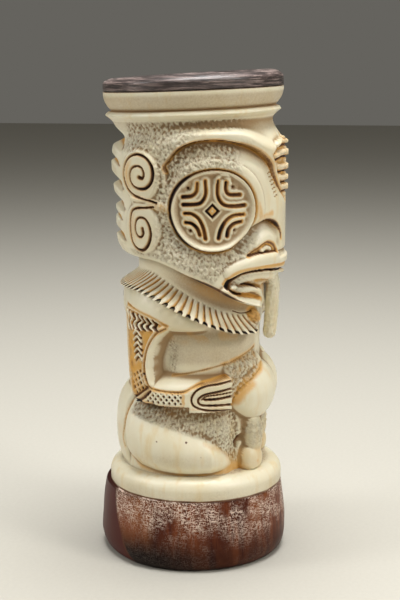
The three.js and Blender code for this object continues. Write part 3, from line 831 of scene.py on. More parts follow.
def carve_crest(f):
    """Crest down the back of the head: notches of uneven depth and height cut between rounded
    knobs, each bent down a little to its ends."""
    notches = ((165.2, 4.2, 3.4, 142), (157.2, 2.2, 1.7, 146), (149.2, 4.2, 2.5, 143),
               (141.2, 3.8, 2.6, 144), (135.6, 1.4, 1.3, 150), (129.0, 2.6, 2.0, 145))
    for level, depth, height, start in notches:
        middle = level - 0.003 * (f.a - 172) ** 2
        across = np.abs(f.z - middle) / (1.15 * height)
        notch = ramp(1.0, 0.15, across) * ramp(start - 3, start + 5, f.a)
        f.r = f.r - depth * notch
        f.stain("amber", 0.75 * ramp(0.75, 0.2, across) * ramp(start - 8, start + 2, f.a))
        f.stain("cut", 0.75 * ramp(0.4, 0.1, across) * ramp(start - 7, start, f.a))
    f.stain("wash_and_shade", 0.3 * ramp(146, 152, f.a) * ramp(162, 156, f.a) * ramp(168, 160, f.z))


def carve_head():
    """Head: a drum, fuller in front than behind, that narrows to the neck and tucks under at the
    jaw, with the low part of the cheek cut back under the eye, stippled between the carved parts."""
    f = Relief(columns(560, 20, 136), jaw_line, bead_crease, 172)
    a, z = f.a, f.z
    nape = 31.8 - 2.6 * ramp(156, 128, z)  # the back of the head, which tapers downwards
    full = blend(nape, 36.0, (1 + cosine(a)) / 2)
    neck = NECK_RADIUS + 0.4 * cosine(a)
    shoulder = 160.5 + 6.5 * band(a, 42, 100, 14) - 4 * ramp(100, 150, a)
    f.r = blend(full, neck, ramp(shoulder, 170.5 + lean(a), z))
    f.r = softest(f.r, bead_sweep(LIP + lean(a) - z), 0.4)
    behind = ramp(85, 150, a)
    under = np.clip((z - jaw_line(a)) / (2.6 + 6.2 * behind), 0, 1)
    f.r = f.r - (1.7 + 3.6 * behind) * (1 - np.sqrt(1 - (1 - under) ** 2)) * ramp(20, 50, a)
    e = eye_reach(f)
    low = ramp(137, 131, z) * ramp(0.99, 1.03, e) * ramp(1.5, 1.03, e)
    f.r = f.r - 1.5 * low
    # painted shade under the eye's ring
    f.stain("wash_and_shade", 0.45 * low)
    plain_brow = band(z, 164.5, 168.5 - 3.5 * ramp(70, 95, a), 2.0) * band(a, 28, 92, 8)
    lips = reach(line((67, 110.4), (62, 113.8), (54, 117.6), (44, 119.4), (30, 120)), f.s, z)[0]
    nose_side = ramp(60, 48, a) * ramp(126, 134, z) * ramp(165, 160, z)
    ear = ramp(105, 112, a) * band(z, 123, 160, 1.0)
    face = ramp(56, 40, a)
    back = ramp(134, 142, a)
    smooth = np.maximum.reduce([ramp(1.04, 1.0, e), plain_brow, nose_side, ramp(3.2, 2.2, lips), face,
                                ear, back])
    edge_fade = ramp(0.6, 2.6, z - jaw_line(a)) * ramp(0.4, 1.6, bead_crease(a) + 0.6 - z)
    f.stipple(np.clip(1 - smooth, 0, 1) * edge_fade)
    # stain and painted shade under the bead's overhang
    f.stain("wash_and_shade", 0.4 * ramp(163, 170, z) * ramp(40, 70, a))
    carve_brow(f)
    carve_eye(f)
    carve_scrolls(f)
    carve_nose(f)
    carve_mouth(f)
    carve_panel(f)
    carve_crest(f)
    # dark line along the jaw's lower edge: painted shadow under the jaw
    jaw = line((92, 115.2), (83, 113.7), (75, 112), (68, 110), (62, 107.8), (56, 105.6), (50, 103.8))
    f.groove(jaw, 0.6, 0.4, dark=0.9, amber=0.5)
    f.r = np.minimum(f.r, BASE_RADIUS - 0.4)
    f.ivory = ramp(50, 20, a)
    f.make("carved_head")


def carve_collar():
    """Bead and collar, which follow the leaning lip: from the lip the radius falls as a power of the
    depth, then a half-round bead stands out, and a hollow sweep goes on down from it."""
    f = Relief(columns(360, 0, 180), lambda a: bead_crease(a) - 0.9, lambda a: LIP + lean(a), 64)
    below = LIP + lean(f.a) - f.z
    bead = 31.0 + (BEAD_RADIUS - 31.0) * dome((below - BEAD_MIDDLE) / 1.7)
    under = bead_sweep(below) - 0.6 * ramp(10.5, 11.2, below)
    hollow = blend(RIM_RADIUS, 31.4, np.clip(below / COLLAR_END, 0, 1) ** 2.4)
    above_bead = np.where(below < COLLAR_END, np.maximum(hollow, bead), bead)
    f.r = np.where(below < BEAD_MIDDLE, above_bead, under)
    f.r = f.r + 0.05 * ripple(f.theta * 0.1, f.z * 0.4, 2.0)
    # painted shade on the collar, which leans out and faces down, and in the sweep under the bead
    shade_over_bead = 0.6 * band(below, 6.2, 7.6, 0.6) + 0.42 * band(below, 2.2, 6.8, 1.6)
    f.stain("wash_and_shade", shade_over_bead + 0.4 * ramp(9.4, 11, below))
    f.stain("wash_and_shade", 0.52 * ramp(0.2, 2.4, below) * ramp(8.2, 7.4, below))
    f.stain("cut", 0.45 * ramp(0.45, 0.05, below))
    f.ivory = np.ones(f.a.shape)
    f.make("rim_collar")


# ---- ruff and neck
def carve_ruff():
    """Ruff: the radius grows from the neck to a turned-out edge, rounded ribs stand on it as a
    cosine of an angle that slants with level, and it ends in a knob on each side."""
    f = Relief(columns(700, 25, 155), ruff_edge, lambda a: jaw_line(a) + 0.9, 96)
    a, z = f.a, f.z
    up = z - ruff_edge(a)
    width = 6.8 - 1.0 * ramp(120, 160, a)
    neck = 25.6 + 4.6 * cosine(a) + 0.5 * dome(np.clip((up - width - 3.4) / 4.0, -1, 1))
    edge = 31.4 + 3.0 * cosine(a) + 0.5 * band(a, 60, 120, 20)
    slope = np.clip(up / width, 0, 1)
    ribbed = ramp(29, 34, a)
    on_slope = blend(slope, ramp(0, 1, slope), 0.4)
    f.r = blend(edge, neck, on_slope * ribbed + (1 - ribbed) * ramp(0, 9, up))
    phase = (a + (a - 70) * 0.04 * up) / 5.6
    wave = np.abs(np.cos(np.pi * phase))
    skew = (phase + 0.5) % 1
    on_ruff = ribbed * ramp(1.16, 0.94, up / width + 0.16 * (1 - wave))
    f.r = f.r + on_ruff * (1.4 * np.clip(wave * 1.35, 0, 1) ** 0.8 * blend(0.8, 1.15, skew) - 0.7)
    gap = np.maximum(ramp(0.52, 0.16, skew), ramp(0.93, 0.99, skew)) * on_ruff
    f.stain("amber", gap * (0.78 + 0.45 * ripple(a * 0.35, z, 1.0)) * ramp(1.1, 0.75, slope))
    f.stain("cut", 0.42 * ramp(0.22, 0.05, wave) * on_ruff)
    # painted shadow: dark dashes at the foot of each gap, under the ribs' ends
    f.stain("cut", 1.15 * ramp(0.9, 0.6, wave) * ribbed * ramp(1.3, 0.7, up))
    f.r = f.r - 1.4 * ramp(0.75, 0.4, wave) * ribbed * ramp(1.4, 0.6, up)
    f.r = np.minimum(f.r, 26.4 / np.maximum(cosine(a), 0.3) + 8 * ramp(34, 44, a))
    knob = dome((a - 32.5) / 8.2, (z - 96.6) / 5.0)
    f.r = np.where(knob > 0, np.maximum(f.r, 25 + 7.6 * knob), f.r)
    f.stipple(ramp(0.02, 0.2, knob), 1.0, 0.2, 0.3, 4.0)
    f.stain("amber", band(a, 31, 40, 3.5) * band(z, 95.5, 101.5, 1.5))
    # painted shade on the neck band under the jaw, brown and warm amber, deeper towards the front
    shaded = blend(0.12, 0.8, ramp(122, 72, a)) * ramp(20, 40, a)
    f.stain("wash_and_shade", shaded * ramp(width - 0.5, width + 2.5, up))
    f.stain("amber", 0.36 * ramp(width + 1, width + 5, up) * ramp(20, 40, a) * ramp(120, 70, a))
    f.groove(line((52, 100.4), (46, 99.3), (40, 99.2), (36, 99.6)), 0.35, 0.3, dark=0.6)
    f.make("ruff_and_neck")


# ---- body
def thigh_top(a):
    """Level where the thigh meets the stippled hollow over it."""
    return np.interp(a, (48, 53, 64, 75, 95, 114, 132, 143, 150),
                     (39.5, 42.5, 47, 50.5, 54, 56.5, 58.5, 60, 61))


def thigh_bottom(a):
    """Level of the thigh's lower edge."""
    return np.interp(a, (48, 53, 64, 80, 95, 112, 127, 137, 150),
                     (38.8, 37.8, 36.4, 35.8, 35.6, 35.9, 37, 39.2, 43))


def carve_arm(f):
    """Arm: a patterned upper arm, a bent elbow with a slanting bar, a netted forearm and a hand of
    nested cuts."""
    a, z = f.a, f.z
    panel = line((149, 99.5), (146, 100.8), (130, 100), (115, 98.4), (104, 95.6), (102.6, 94.8),
                 (110, 92.4), (115.5, 88.4), (119.8, 82), (120.6, 78), (118.2, 73), (115.6, 70.6),
                 (126, 65.4), (131, 65.2), (134.6, 70), (138, 78), (143, 88), closed=True, steps=5)
    depth_in = into(panel, f.s, z)
    ground = ramp(0.9, 1.4, depth_in)
    golden = 0.6 + 0.9 * ripple(a * 0.4, z * 0.6, 3.0)
    f.stain("amber", 0.42 * ramp(-2.0, 0.2, depth_in) + 0.5 * ground * golden)
    f.stain("wash_and_shade", ground * (0.75 + 0.5 * ripple(a * 0.5, z * 0.7, 5.0)))
    f.r = f.r - 0.9 * ground
    f.groove(panel, 0.5, 0.4, dark=0.3, amber=0.75)
    for k in range(6):
        top = 140 - 5.6 * k
        stroke = line((top + 1.5, 98.6 - 0.35 * k), (top - 1.2, 96.4 - 0.3 * k), (top + 0.6, 94.4),
                      (top - 2.6, 91.8 + 0.3 * k))
        f.groove(stroke, 0.62, 1.0, dark=0.85, amber=0.9, halo=0.3)
        f.ridge(stroke + (1.35, 0.2), 0.75, 0.9)
    for k in range(5):
        level = 90.6 - 2.3 * k
        chevron = line((133 - 0.7 * k, level - 1.2), (128.5 - 0.5 * k, level + 0.5),
                       (124 - 0.4 * k, level - 1.2), steps=4)
        f.groove(chevron, 0.5, 0.9, dark=0.8, amber=0.9, halo=0.3)
        f.ridge(chevron + (0, 1.15), 0.62, 0.8)
    net = into(line((132.5, 75.4), (121.5, 77.2), (117.6, 71.6), (127.5, 67.2), (131.5, 68.4),
                    closed=True, steps=3), f.s, z)
    carve_net(f, ramp(-0.2, 0.6, net), 2.1, 14.0)
    f.groove(line((133, 65.4), (127, 64.9), (120, 64), (112, 64.1)), 0.9, 0.7, dark=1.0, amber=0.5)
    f.tint("cut", 0.85, line((133.6, 67), (131, 65), (124, 64.4)), 1.5)
    f.tint("amber", 0.9, line((137, 76), (134.5, 69), (131, 65), (124, 64.4), (114, 64.4)), 1.8)
    f.groove(line((131, 65.8), (124, 68.2), (117.5, 70.8)), 0.8, 0.8, dark=0.75, amber=0.9, halo=0.5)
    f.groove(line((126.5, 64.6), (120.5, 66.6), (115, 69.4)), 0.7, 0.8, dark=0.85, amber=0.8, halo=0.5)
    inner_edge = line((103, 94.4), (110.4, 91.8), (116.4, 87), (119.4, 82), (120, 78), (118, 73.4),
                      (114.8, 70.8), (108, 70.1), (98, 69.9), (90.5, 70.2), (84, 71.8), (78, 73),
                      (68, 73.9), (57, 75))
    f.groove(inner_edge, 0.45, 0.4, dark=0.45, amber=0.95, halo=0.8)
    inner_roll = line((104, 92.8), (110, 90), (114.6, 86), (116.8, 81.4), (116.8, 77), (114.4, 72.6))
    f.welt(inner_roll, 1.1, 0.6)
    frame_box = into(line((117.5, 69), (104, 69.4), (92, 69.3), (91.3, 67), (92, 64.9), (104, 64.7),
                          (119, 65.1), closed=True, steps=4), f.s, z)
    carve_net(f, ramp(0.1, 0.6, frame_box), 1.75, 0.0)
    f.stain("amber", 0.6 * band(frame_box, -1.2, 0.2, 0.3))
    f.stain("amber", 0.45 * band(z, 62.9, 64.2, 0.5) * band(a, 60, 118, 4))
    fingers = (
        (((55, 73.9), (65, 73.1), (75, 72.4), (81.5, 70.6), (84.6, 67.6), (82.6, 64.8), (75, 63.2),
          (65, 62.7), (55, 62.3)), 0.52),
        (((55, 70.9), (65, 70.1), (74, 69.4), (78.6, 68.2), (80, 66.8), (78.2, 65.4), (72, 64.9),
          (55, 64.6)), 0.56),
        (((75.4, 67.3), (66, 67.3), (55, 67.9)), 0.6),
        (((77.6, 67.2), (74, 68.5), (64, 69), (55, 69.4)), 0.3),
    )
    for points, width in fingers:
        f.groove(line(*points), width, 1.0, dark=0.9, amber=0.6, halo=0.5)


def carve_net(f, where, pitch, turn):
    """A net of crossed ridges with a square pit in each mesh: the shares of a pitch along two
    crossed directions, turned by an angle, tell how near a point is to the middle of its mesh."""
    c, s = math.cos(math.radians(45 + turn)), math.sin(math.radians(45 + turn))
    u = (f.s * c + f.z * s) / pitch
    v = (f.z * c - f.s * s) / pitch
    pit = ramp(0.75, 0.25, np.maximum(np.abs(u % 1 - 0.5), np.abs(v % 1 - 0.5)) * 2)
    f.r = f.r - where * (0.95 * pit - 0.25)
    f.stain("cut", 0.95 * where * ramp(0.45, 0.95, pit))
    f.stain("amber", 0.6 * where * ramp(0.05, 0.5, pit))


def carve_body():
    """Body: each limb is a swelling of the radius over angle and level, and the skin follows the
    largest at each point, with the corners between them rounded."""
    f = Relief(columns(520, 40, 152), lambda a: BODY_FOOT, lambda a: ruff_edge(a) + 2.0, 184)
    a, z = f.a, f.z
    torso = 25.4 + 0.9 * cosine(a) + 0.9 * band(a, 20, 100, 14) * band(z, 74, 90, 5)
    back_in = ramp(118, 155, a)
    roll_low, roll_high = 92.4 + 1.4 * ramp(105, 140, a), ruff_edge(a) + 1.8
    across_roll = (z - (roll_low + roll_high) / 2) / ((roll_high - roll_low) / 2)
    roll = dome(np.clip(across_roll, -1, 1), power=2.4)
    shoulder = 24.3 + (6.6 - 3.2 * back_in) * ramp(56, 96, a) * roll
    arm_back = np.interp(z, (64, 66, 70, 78, 88, 100), (128, 131.5, 135, 138.5, 143.5, 149))
    arm_front = np.interp(z, (70, 73, 78, 82, 88, 92.5, 95.5), (113, 117, 120, 119.5, 115, 109, 102))
    upper_arm = ramp(arm_front - 10 - 6.5 * ramp(91, 96, z), arm_front, a)
    upper_arm = upper_arm * ramp(arm_back + 3.5, arm_back - 1.5, a)
    upper_arm = upper_arm * ramp(64.2, 65.2, z) * ramp(104.5, 99, z)
    upper_arm = upper_arm * (1 - 0.38 * back_in * ramp(68, 96, z))
    upper_arm = upper_arm * (1 - ramp(94.5, 98, z) * ramp(138, 118, a))
    ledge = ramp(77.4, 70.2, z) * ramp(63.8, 64.6, z) * band(a, 56, 116, 2.0)
    forearm = band(z, 63.9, 70.2, 0.5) * band(a, 55, 130, 0.9)
    palm_top = np.interp(a, (55, 75, 82, 86), (75.2, 73.6, 71.8, 70.4))
    palm = ramp(61.6, 62.2, z) * ramp(palm_top + 0.4, palm_top - 0.4, z) * band(a, 54.6, 86.5, 0.5)
    arm = 24.8 + 6.6 * np.maximum.reduce([upper_arm, 0.95 * ledge, forearm, palm])
    flank = np.clip((z - thigh_bottom(a)) / (thigh_top(a) - thigh_bottom(a)), 0, 2)
    low_side = np.sqrt(np.clip(1 - (1 - flank / 0.5) ** 2, 0, 1)) * (flank < 0.5)
    high_side = np.clip(1 - (np.clip(flank - 0.5, 0, None) / 0.86) ** 2.2, 0, 1) * (flank >= 0.5)
    tip = np.sqrt(np.clip((a - 48.5) / 22, 0, 1))
    thigh = CORE + (8.8 - 3.2 * ramp(134, 150, a)) * (low_side + high_side) * tip * ramp(154, 146, a)
    cleft = ramp(181.5, 174, a) ** 0.3
    seat = CORE + 6.9 * ramp(137, 146, a) * dome(np.clip((z - 50.5) / 17, -1, 1), power=2.2) * cleft
    knee = CORE + 10.2 * dome((a - 20) / 33, (z - 66.8) / (12.6 - 1.6 * ramp(25, 50, a)), 2.0)
    shin = CORE + 7.2 * dome((a - 26) / 10, (z - 49) / 10, 2.6)
    toes = CORE + 7.6 * dome((a - 29) / 12.5, (z - 40) / 5.8, 2.6)
    web = 24.6 + 4.6 * band(a, 12, 58, 5) * band(z, 64, 81, 3.5)
    instep = CORE + 2.5 * dome((a - 46) / 10, (z - 42) / 9, 2)
    under = 25.2 + 3.4 * ramp(63, 54, z) * ramp(40, 60, a)
    f.r = torso
    forms = ((shoulder, 0.5), (web, 0.6), (under, 0.8), (thigh, 0.7), (seat, 0.4), (instep, 0.6),
             (shin, 0.4), (toes, 0.4), (knee, 0.35), (arm, 0.25))
    for form, width in forms:
        f.r = softest(f.r, form, width)
    f.ivory = np.clip(ramp(29.5, 31, np.maximum(thigh, knee)) + ramp(60, 52, z), 0, 1)
    under_arm = into(line((134, 63.6), (120, 63.6), (100, 63.4), (80, 61.4), (62, 60.4), (52, 62.5),
                          (42, 56), (41, 48), (46, 42), (50.5, 41.5), (58, 45), (66, 48.5), (76, 51),
                          (95, 54), (114, 56.5), (132, 58), (139, 60), closed=True, steps=4), f.s, z)
    f.r = f.r - 0.6 * ramp(-0.8, 1.5, under_arm)
    f.stipple(ramp(-1.0, 0.8, under_arm), 1.25, 0.45, 0.34, 5.0)
    # painted shade under the forearm, growing upwards
    f.stain("wash_and_shade", 0.42 * ramp(-0.8, 2.2, under_arm) * ramp(50, 61, z + 0.08 * (a - 60)))
    patch = into(line((58, 78.8), (50, 80.4), (36, 82), (22, 83.8), (20, 80), (28, 76), (38, 71.8),
                      (46, 68.4), (51, 64.6), (54, 62.8), (54, 75), closed=True, steps=4), f.s, z)
    f.stipple(ramp(-0.4, 0.6, patch), 1.4, 0.65, 0.6, 6.0)
    f.stain("amber", 0.4 * ramp(-0.6, 0.6, patch) * (0.6 + 0.6 * ripple(a * 0.6, z, 4.0)))
    hollow = band(a, 97, 104, 3.0) * band(z, 77.5, 88.5, 2.5)
    f.stipple(hollow, 1.0, 0.22, 0.4, 7.0)
    f.stipple(band(a, 42, 54, 2.5) * band(z, 40, 52, 2), 1.2, 0.45, 0.5, 8.0)
    waist = line((101, 75.4), (90, 76.2), (80, 77.2), (70, 78.2), (60, 79.2), (50, 80.4), (36, 82.2),
                 (21, 84.2))
    f.groove(waist, 0.35, 0.3, dark=0.42, amber=0.5)
    over_waist = reach(line((60, 79.4), (50, 80.6), (36, 82.4), (21, 84.4)), f.s, z)[0]
    f.stain("amber", 0.55 * ramp(1.6, 0.2, over_waist))
    knee_edge = line((50.5, 64), (49.6, 67.4), (44, 70.6), (36, 73.2), (28, 75.4), (18, 78))
    f.groove(knee_edge, 0.4, 0.5, dark=0.35, amber=0.8, halo=1.3)
    on_knee = reach(line((49, 65), (45.5, 69), (39, 71.8)), f.s, z)[0]
    f.stain("amber", 0.75 * ramp(4.2, 0.5, on_knee) * ramp(24.5, 27, knee))
    # painted shade on the torso: under the ruff and shoulder, and over the recessed torso
    top_shade = band(z, 88, 94, 3.5) * band(a, 35, 104, 8)
    f.stain("wash_and_shade", 0.62 * top_shade)
    f.stain("wash_and_shade", 0.45 * band(z, 79.5, 93, 2) * band(a, 18, 104, 6))
    f.stain("amber", 0.4 * top_shade * ramp(0.2, 1, ripple(a * 0.25, z * 0.6, 9.0) + 0.6))
    armpit = reach(line((112, 88), (104, 91), (92, 92)), f.s, z)[0]
    f.stain("wash_and_shade", 0.35 * ramp(6.0, 0.5, armpit))
    # painted shade just under the ruff's edge
    f.stain("wash_and_shade", 0.3 * ramp(ruff_edge(a) - 3.5, ruff_edge(a) - 0.5, z))
    crease = line((142, 62), (143.6, 57), (145.6, 52), (147.4, 47.5), (146, 44))
    f.groove(crease, 0.55, 0.5, dark=0.2, amber=0.5, halo=1.2)
    hole = reach(line((43.5, 46.5), (41.5, 47.8), (38, 48.9)), f.s, z)[0]
    f.r = f.r - 2.6 * ramp(2.0, 0.4, hole)
    # painted shade in the hole
    f.stain("wash_and_shade", 0.9 * ramp(2.4, 0.8, hole))
    f.stain("cut", 0.7 * ramp(1.3, 0.3, hole))
    f.stipple(band(a, 14, 38, 3) * band(z, 45, 55, 2) * ramp(1.5, 3.0, hole), 1.2, 0.35, 0.2, 9.0)
    thigh_hem = reach(line((139, 41), (128, 37.8), (112, 36.6), (95, 36.3), (80, 36.5), (64, 37),
                           (53.5, 38.6), (50, 40), (52, 42), (57, 44.4), (63, 46.4), (71, 48.6),
                           (75, 49.8)), f.s, z)[0]
    f.stain("amber", 0.5 * ramp(1.8, 0.2, thigh_hem) * (0.7 + 0.6 * ripple(a * 0.3, z * 0.5, 5.0)))
    f.stain("wash_and_shade", 0.35 * ramp(2.4, 0.2, thigh_hem))
    # painted shade, darker towards the thigh's underside, in uneven streaks
    under_thigh = ramp(50, 42, z) * band(a, 60, 138, 14)
    f.stain("wash_and_shade", 0.4 * under_thigh * (0.75 + 0.5 * ripple(a * 0.06, z * 0.3, 7.0)))
    patches = ramp(0.35, 0.8, ripple(a * 0.07, z * 0.16, 2.5)) * ramp(60, 54, z)
    f.stain("amber", 0.34 * ramp(66, 54, a) * ramp(47, 43, z) + 0.3 * patches)
    for spot, size in (((88.2, 50.6), 0.6), ((109, 50.2), 0.4), ((78, 45), 0.3)):
        f.stain("cut", 0.9 * ramp(size, 0.3 * size, np.hypot((a - spot[0]) * ARC, z - spot[1])))
    f.stain("amber", 0.65 * ramp(1.3, 0.2, np.hypot((a - 30.5) * ARC, z - 39.6)))
    carve_arm(f)
    f.make("crouching_body")


def carve_plinth():
    """Plinth: a disc whose upper edge is one broad elliptical round, a little forward of the base's
    middle, turned from a profile of (radius, level) and uneven by a ripple round it."""
    theta = columns(420, 0, 180)
    side = np.stack([np.full(9, PLINTH_RADIUS), np.linspace(SEAM, PLINTH_SHOULDER, 9)], -1)
    round_ = arc((PLINTH_RADIUS - 4.8, PLINTH_SHOULDER), (4.8, 4.9), 0, 90, 26)
    flat = np.stack([np.linspace(28.5, PLINTH_BORE, 6), np.linspace(36.3, PLINTH_TOP, 6)], -1)
    profile = np.vstack([side, round_[1:], flat])
    share, z = profile[:, 0][:, None], profile[:, 1][:, None]
    r = share + (0.9 * cosine(theta) + 0.12 * ripple(theta * 0.09, 0, 4.0)) * ramp(26, 33, share)
    z = z + 0.1 * ripple(theta * 0.05, 0, 6.0) * (z > SEAM + 0.5)
    inner_z = np.array([PLINTH_TOP - 0.2, SEAM])[:, None] + np.zeros((2, len(theta)))
    wall = around(theta, np.full(inner_z.shape, PLINTH_BORE), inner_z)
    points = np.vstack([around(theta, r, z), wall])
    seam_dirt = ramp(SEAM + 1.1, SEAM + 0.2, z) * (0.75 + 0.25 * ripple(theta * 0.3, 0, 8.0))
    # darker towards the seam
    darker_towards_seam = ramp(SEAM + 10, SEAM, z) * (0.7 + 0.5 * ripple(theta * 0.12, 0, 3.0))
    shelf = ramp(30.5, 28.5, share) + 0 * r
    outside = {"cut": 0.85 * seam_dirt, "wash_and_shade": 0.3 * seam_dirt + 0.42 * darker_towards_seam + 0.4 * shelf,
               "amber": 0 * r, "ivory": 1 - shelf, "rough": 0.8 * shelf}
    marks = {key: np.vstack([values, 0 * inner_z]) for key, values in outside.items()}
    place(piece("plinth", points, marks, sharp=60), "carved_figure", BONE)


# ---------------------------------------------------------------- tongue
def build_tongue():
    """Tongue: an oval section carried along a curve out of the mouth, over the lip and down, each
    point moved out by its section's half-width and thickness and by a pebbled unevenness."""
    path = np.array(((0, 26.5, 110.6), (0, 30.2, 110.2), (0, 31.3, 107.6), (0, 31.2, 102.5),
                     (0, 30.9, 95), (0, 30.4, 88.8), (0, 29.9, 85.4)))
    rows, cols = 90, 56
    t = np.linspace(0, 1, rows)
    centre = np.stack([smooth_through(path[:, k], t) for k in range(3)], -1)
    along = np.gradient(centre, axis=0)
    along /= np.linalg.norm(along, axis=1)[:, None]
    outward = np.stack([0 * t, -along[:, 2], along[:, 1]], -1)
    tip = np.sqrt(np.clip(1 - np.clip((t - 0.86) / 0.14, 0, 1) ** 2, 0, 1))
    half = (5.6 - 1.7 * ramp(0.2, 0.75, t) + 0.5 * ramp(0.75, 0.9, t)) * np.maximum(tip, 0.02)
    thick = (2.7 - 0.2 * ramp(0.3, 0.9, t)) * np.maximum(tip, 0.02)
    turn = np.linspace(0, 2 * np.pi, cols, endpoint=False)
    u, v = np.meshgrid(turn, t)
    pebble = 0.12 * ripple(u * 7, v * 60, 1.0) + 0.14 * ramp(0.6, 0.1, scatter(u * 4.4, v * 32, 4.0))
    swell = 1 + pebble * 0.5 * tip[:, None]
    side = np.sign(np.cos(turn)) * np.abs(np.cos(turn)) ** 0.8
    lift = np.sin(turn) * thick[:, None] * swell
    points = centre[:, None, :] + lift[..., None] * outward[:, None, :]
    points[..., 0] += side * half[:, None] * swell
    points[..., 1] *= -1  # the figure faces the other way
    grain = np.clip(0.5 - pebble * 3, 0, 1)
    marks = {"cut": 0 * grain, "wash_and_shade": 0.1 * grain, "ivory": 0.8 + 0 * grain, "rough": 0.3 + 0 * grain,
             "amber": 0.35 * grain * ramp(0.5, 1.0, v) + 0.5 * ramp(0.16, 0.04, v)}
    place(piece("tongue_hanging", points, marks, wrap=False, sharp=70), "tongue", BONE)


def smooth_through(values, t):
    """A Catmull-Rom curve through evenly spaced values, at shares t of its whole length."""
    n = len(values) - 1
    i = np.clip((t * n).astype(int), 0, n - 1)
    u = t * n - i
    padded = np.concatenate([[2 * values[0] - values[1]], values, [2 * values[-1] - values[-2]]])
    return catmull(padded[i], padded[i + 1], padded[i + 2], padded[i + 3], u)


# ---------------------------------------------------------------- base, rim, liner, pad, screws
def build_base():
    """Base: a turned block, fullest low down, with a rounded foot and a recess beneath. Its side
    draws in as the square of the height, and a ripple and a hollow put it slightly out of true."""
    belt = 7.0  # level of the fullest part
    foot_round = 3.6
    socket_floor = SEAM - 8.3
    hole = 4.0
    recess = PAD_RADIUS + GAP
    round_foot = arc((BASE_RADIUS - foot_round, belt), (foot_round, belt), -90, 0, 22)
    side_r = blend(BASE_RADIUS, BASE_RADIUS - 1.9, np.linspace(0, 1, 60) ** 2)
    side = np.stack([side_r, np.linspace(belt, SEAM, 60)], -1)
    side[-1] += (-0.25, 0)
    side[-2] += (-0.05, 0)
    inside = [(SOCKET, SEAM), (SOCKET, socket_floor), (hole, socket_floor), (hole, PAD_TOP),
              (recess, PAD_TOP), (recess, 0)]
    profile = np.vstack([round_foot, side[1:], inside])
    theta, points = turned(profile, 420)
    angle = np.broadcast_to(np.where(theta > 180, theta - 360, theta), points.shape[:2])
    z = points[..., 2]
    edge_of_side = 122 + 23 * np.clip(z / SEAM, 0, 1) ** 0.7
    maroon = ramp(edge_of_side - 1.5, edge_of_side + 1.5, angle) + ramp(-150, -156, angle)
    brown = 1 - np.clip(maroon, 0, 1)
    outside = (np.arange(len(profile)) < 80)[:, None]
    worn = 0.16 * ripple(angle * 0.08, z * 0.3, 3.0) - 0.5 * dome(np.clip((angle - 148) / 24, -1, 1))
    radius = np.hypot(points[..., 0], points[..., 1])
    grow = np.where(outside, 1 + (worn - 0.16) / radius, 1.0)
    points[..., :2] *= grow[..., None]
    foot_shade = ramp(17, 4.5, z) * blend(0.55, 1.0, ramp(50, 110, angle)) * brown
    marks = {
        "maroon": 1 - brown,
        "scuffed": brown * (0.06 + 0.94 * ramp(9, 21, z - 4 * ripple(angle * 0.05, z * 0.1, 2.0))),
        "shade": foot_shade + 0.5 * ramp(SEAM - 0.9, SEAM, z),
    }
    place(piece("turned_base", points, marks, sharp=35), "wooden_base", base_finish())


def build_rim():
    """Rim ring: an upright band, then a broad elliptical round over the crown and down into the
    mouth. Above the band its height shrinks with the cosine of the angle, to be lowest behind."""
    mouth = RIM_RADIUS - RIM_WIDTH
    crown = blend(mouth, RIM_RADIUS, 0.42)
    spigot = FLANGE_RADIUS - GAP
    spigot_end = -1.5
    band_top = 1.2
    easing = 0.35
    foot = arc((RIM_RADIUS - easing, GAP + easing), (easing, easing), -90, 0, 5)
    outer = arc((crown, 3.3), (RIM_RADIUS - crown, 3.0), 0, 90, 26)
    inner = arc((crown, 3.9), (crown - mouth, 2.4), 90, 180, 18)
    inside = [(mouth, 3.0), (mouth, spigot_end), (spigot, spigot_end), (spigot, GAP)]
    profile = np.vstack([foot, [(RIM_RADIUS, band_top), (RIM_RADIUS, 2.2)], outer, inner[1:], inside])
    theta, points = turned(profile, 360)
    sunk = 1 - 0.24 * (1 - cosine(theta)) / 2
    level = points[..., 2]
    points[..., 2] = np.where(level > band_top, band_top + (level - band_top) * sunk, level)
    place(piece("rim_ring_turned", at_mouth(points), sharp=35), "rim_ring", rim_finish())


def build_liner():
    """Liner: a thin beaker that flares to the mouth as the square of the height, with a rounded foot
    and a flange held under the ring."""
    foot_round = 3.0
    foot_level = foot_round - LINER_DEPTH
    foot_centre = (LINER_BOTTOM - foot_round, foot_level)
    inner_round = foot_round - LINER_WALL
    t = np.linspace(0, 1, 60)
    wall_r = blend(LINER_BOTTOM, LINER_TOP, t * t)
    wall = np.stack([wall_r, blend(foot_level, -SEAT_DEPTH - 0.6, t)], -1)
    foot_out = arc(foot_centre, (foot_round, foot_round), -90, 0, 10)
    foot_in = arc(foot_centre, (inner_round, inner_round), 0, -90, 10)
    flange_top = LINER_WALL - SEAT_DEPTH
    flange = [(LINER_TOP + 0.6, -SEAT_DEPTH), (FLANGE_RADIUS, -SEAT_DEPTH), (FLANGE_RADIUS, flange_top),
              (LINER_TOP + 0.2, flange_top)]
    middle = 0.02
    profile = np.vstack([[(middle, -LINER_DEPTH)], foot_out, wall[1:], flange, wall[:0:-1]
                         - (LINER_WALL, 0), foot_in, [(middle, LINER_WALL - LINER_DEPTH)]])
    points = at_mouth(turned(profile, 200)[1])
    place(piece("liner_spun", points, sharp=35), "cup_liner", steel_finish())


def build_pad():
    """Felt pad: a disc turned from a flat profile with its edges rounded."""
    round_low = arc((PAD_RADIUS - 0.4, 0.4), (0.4, 0.4), -90, 0, 5)
    round_high = arc((PAD_RADIUS - 0.3, PAD_TOP - 0.3), (0.3, 0.3), 0, 90, 5)
    profile = np.vstack([[(0.05, 0)], [(8, 0), (16, 0)], round_low, round_high,
                         [(16, PAD_TOP), (0.05, PAD_TOP)]])
    points = turned(profile, 160)[1]
    place(piece("felt_disc", points, wrap=False, sharp=60), "felt_pad", felt_finish())


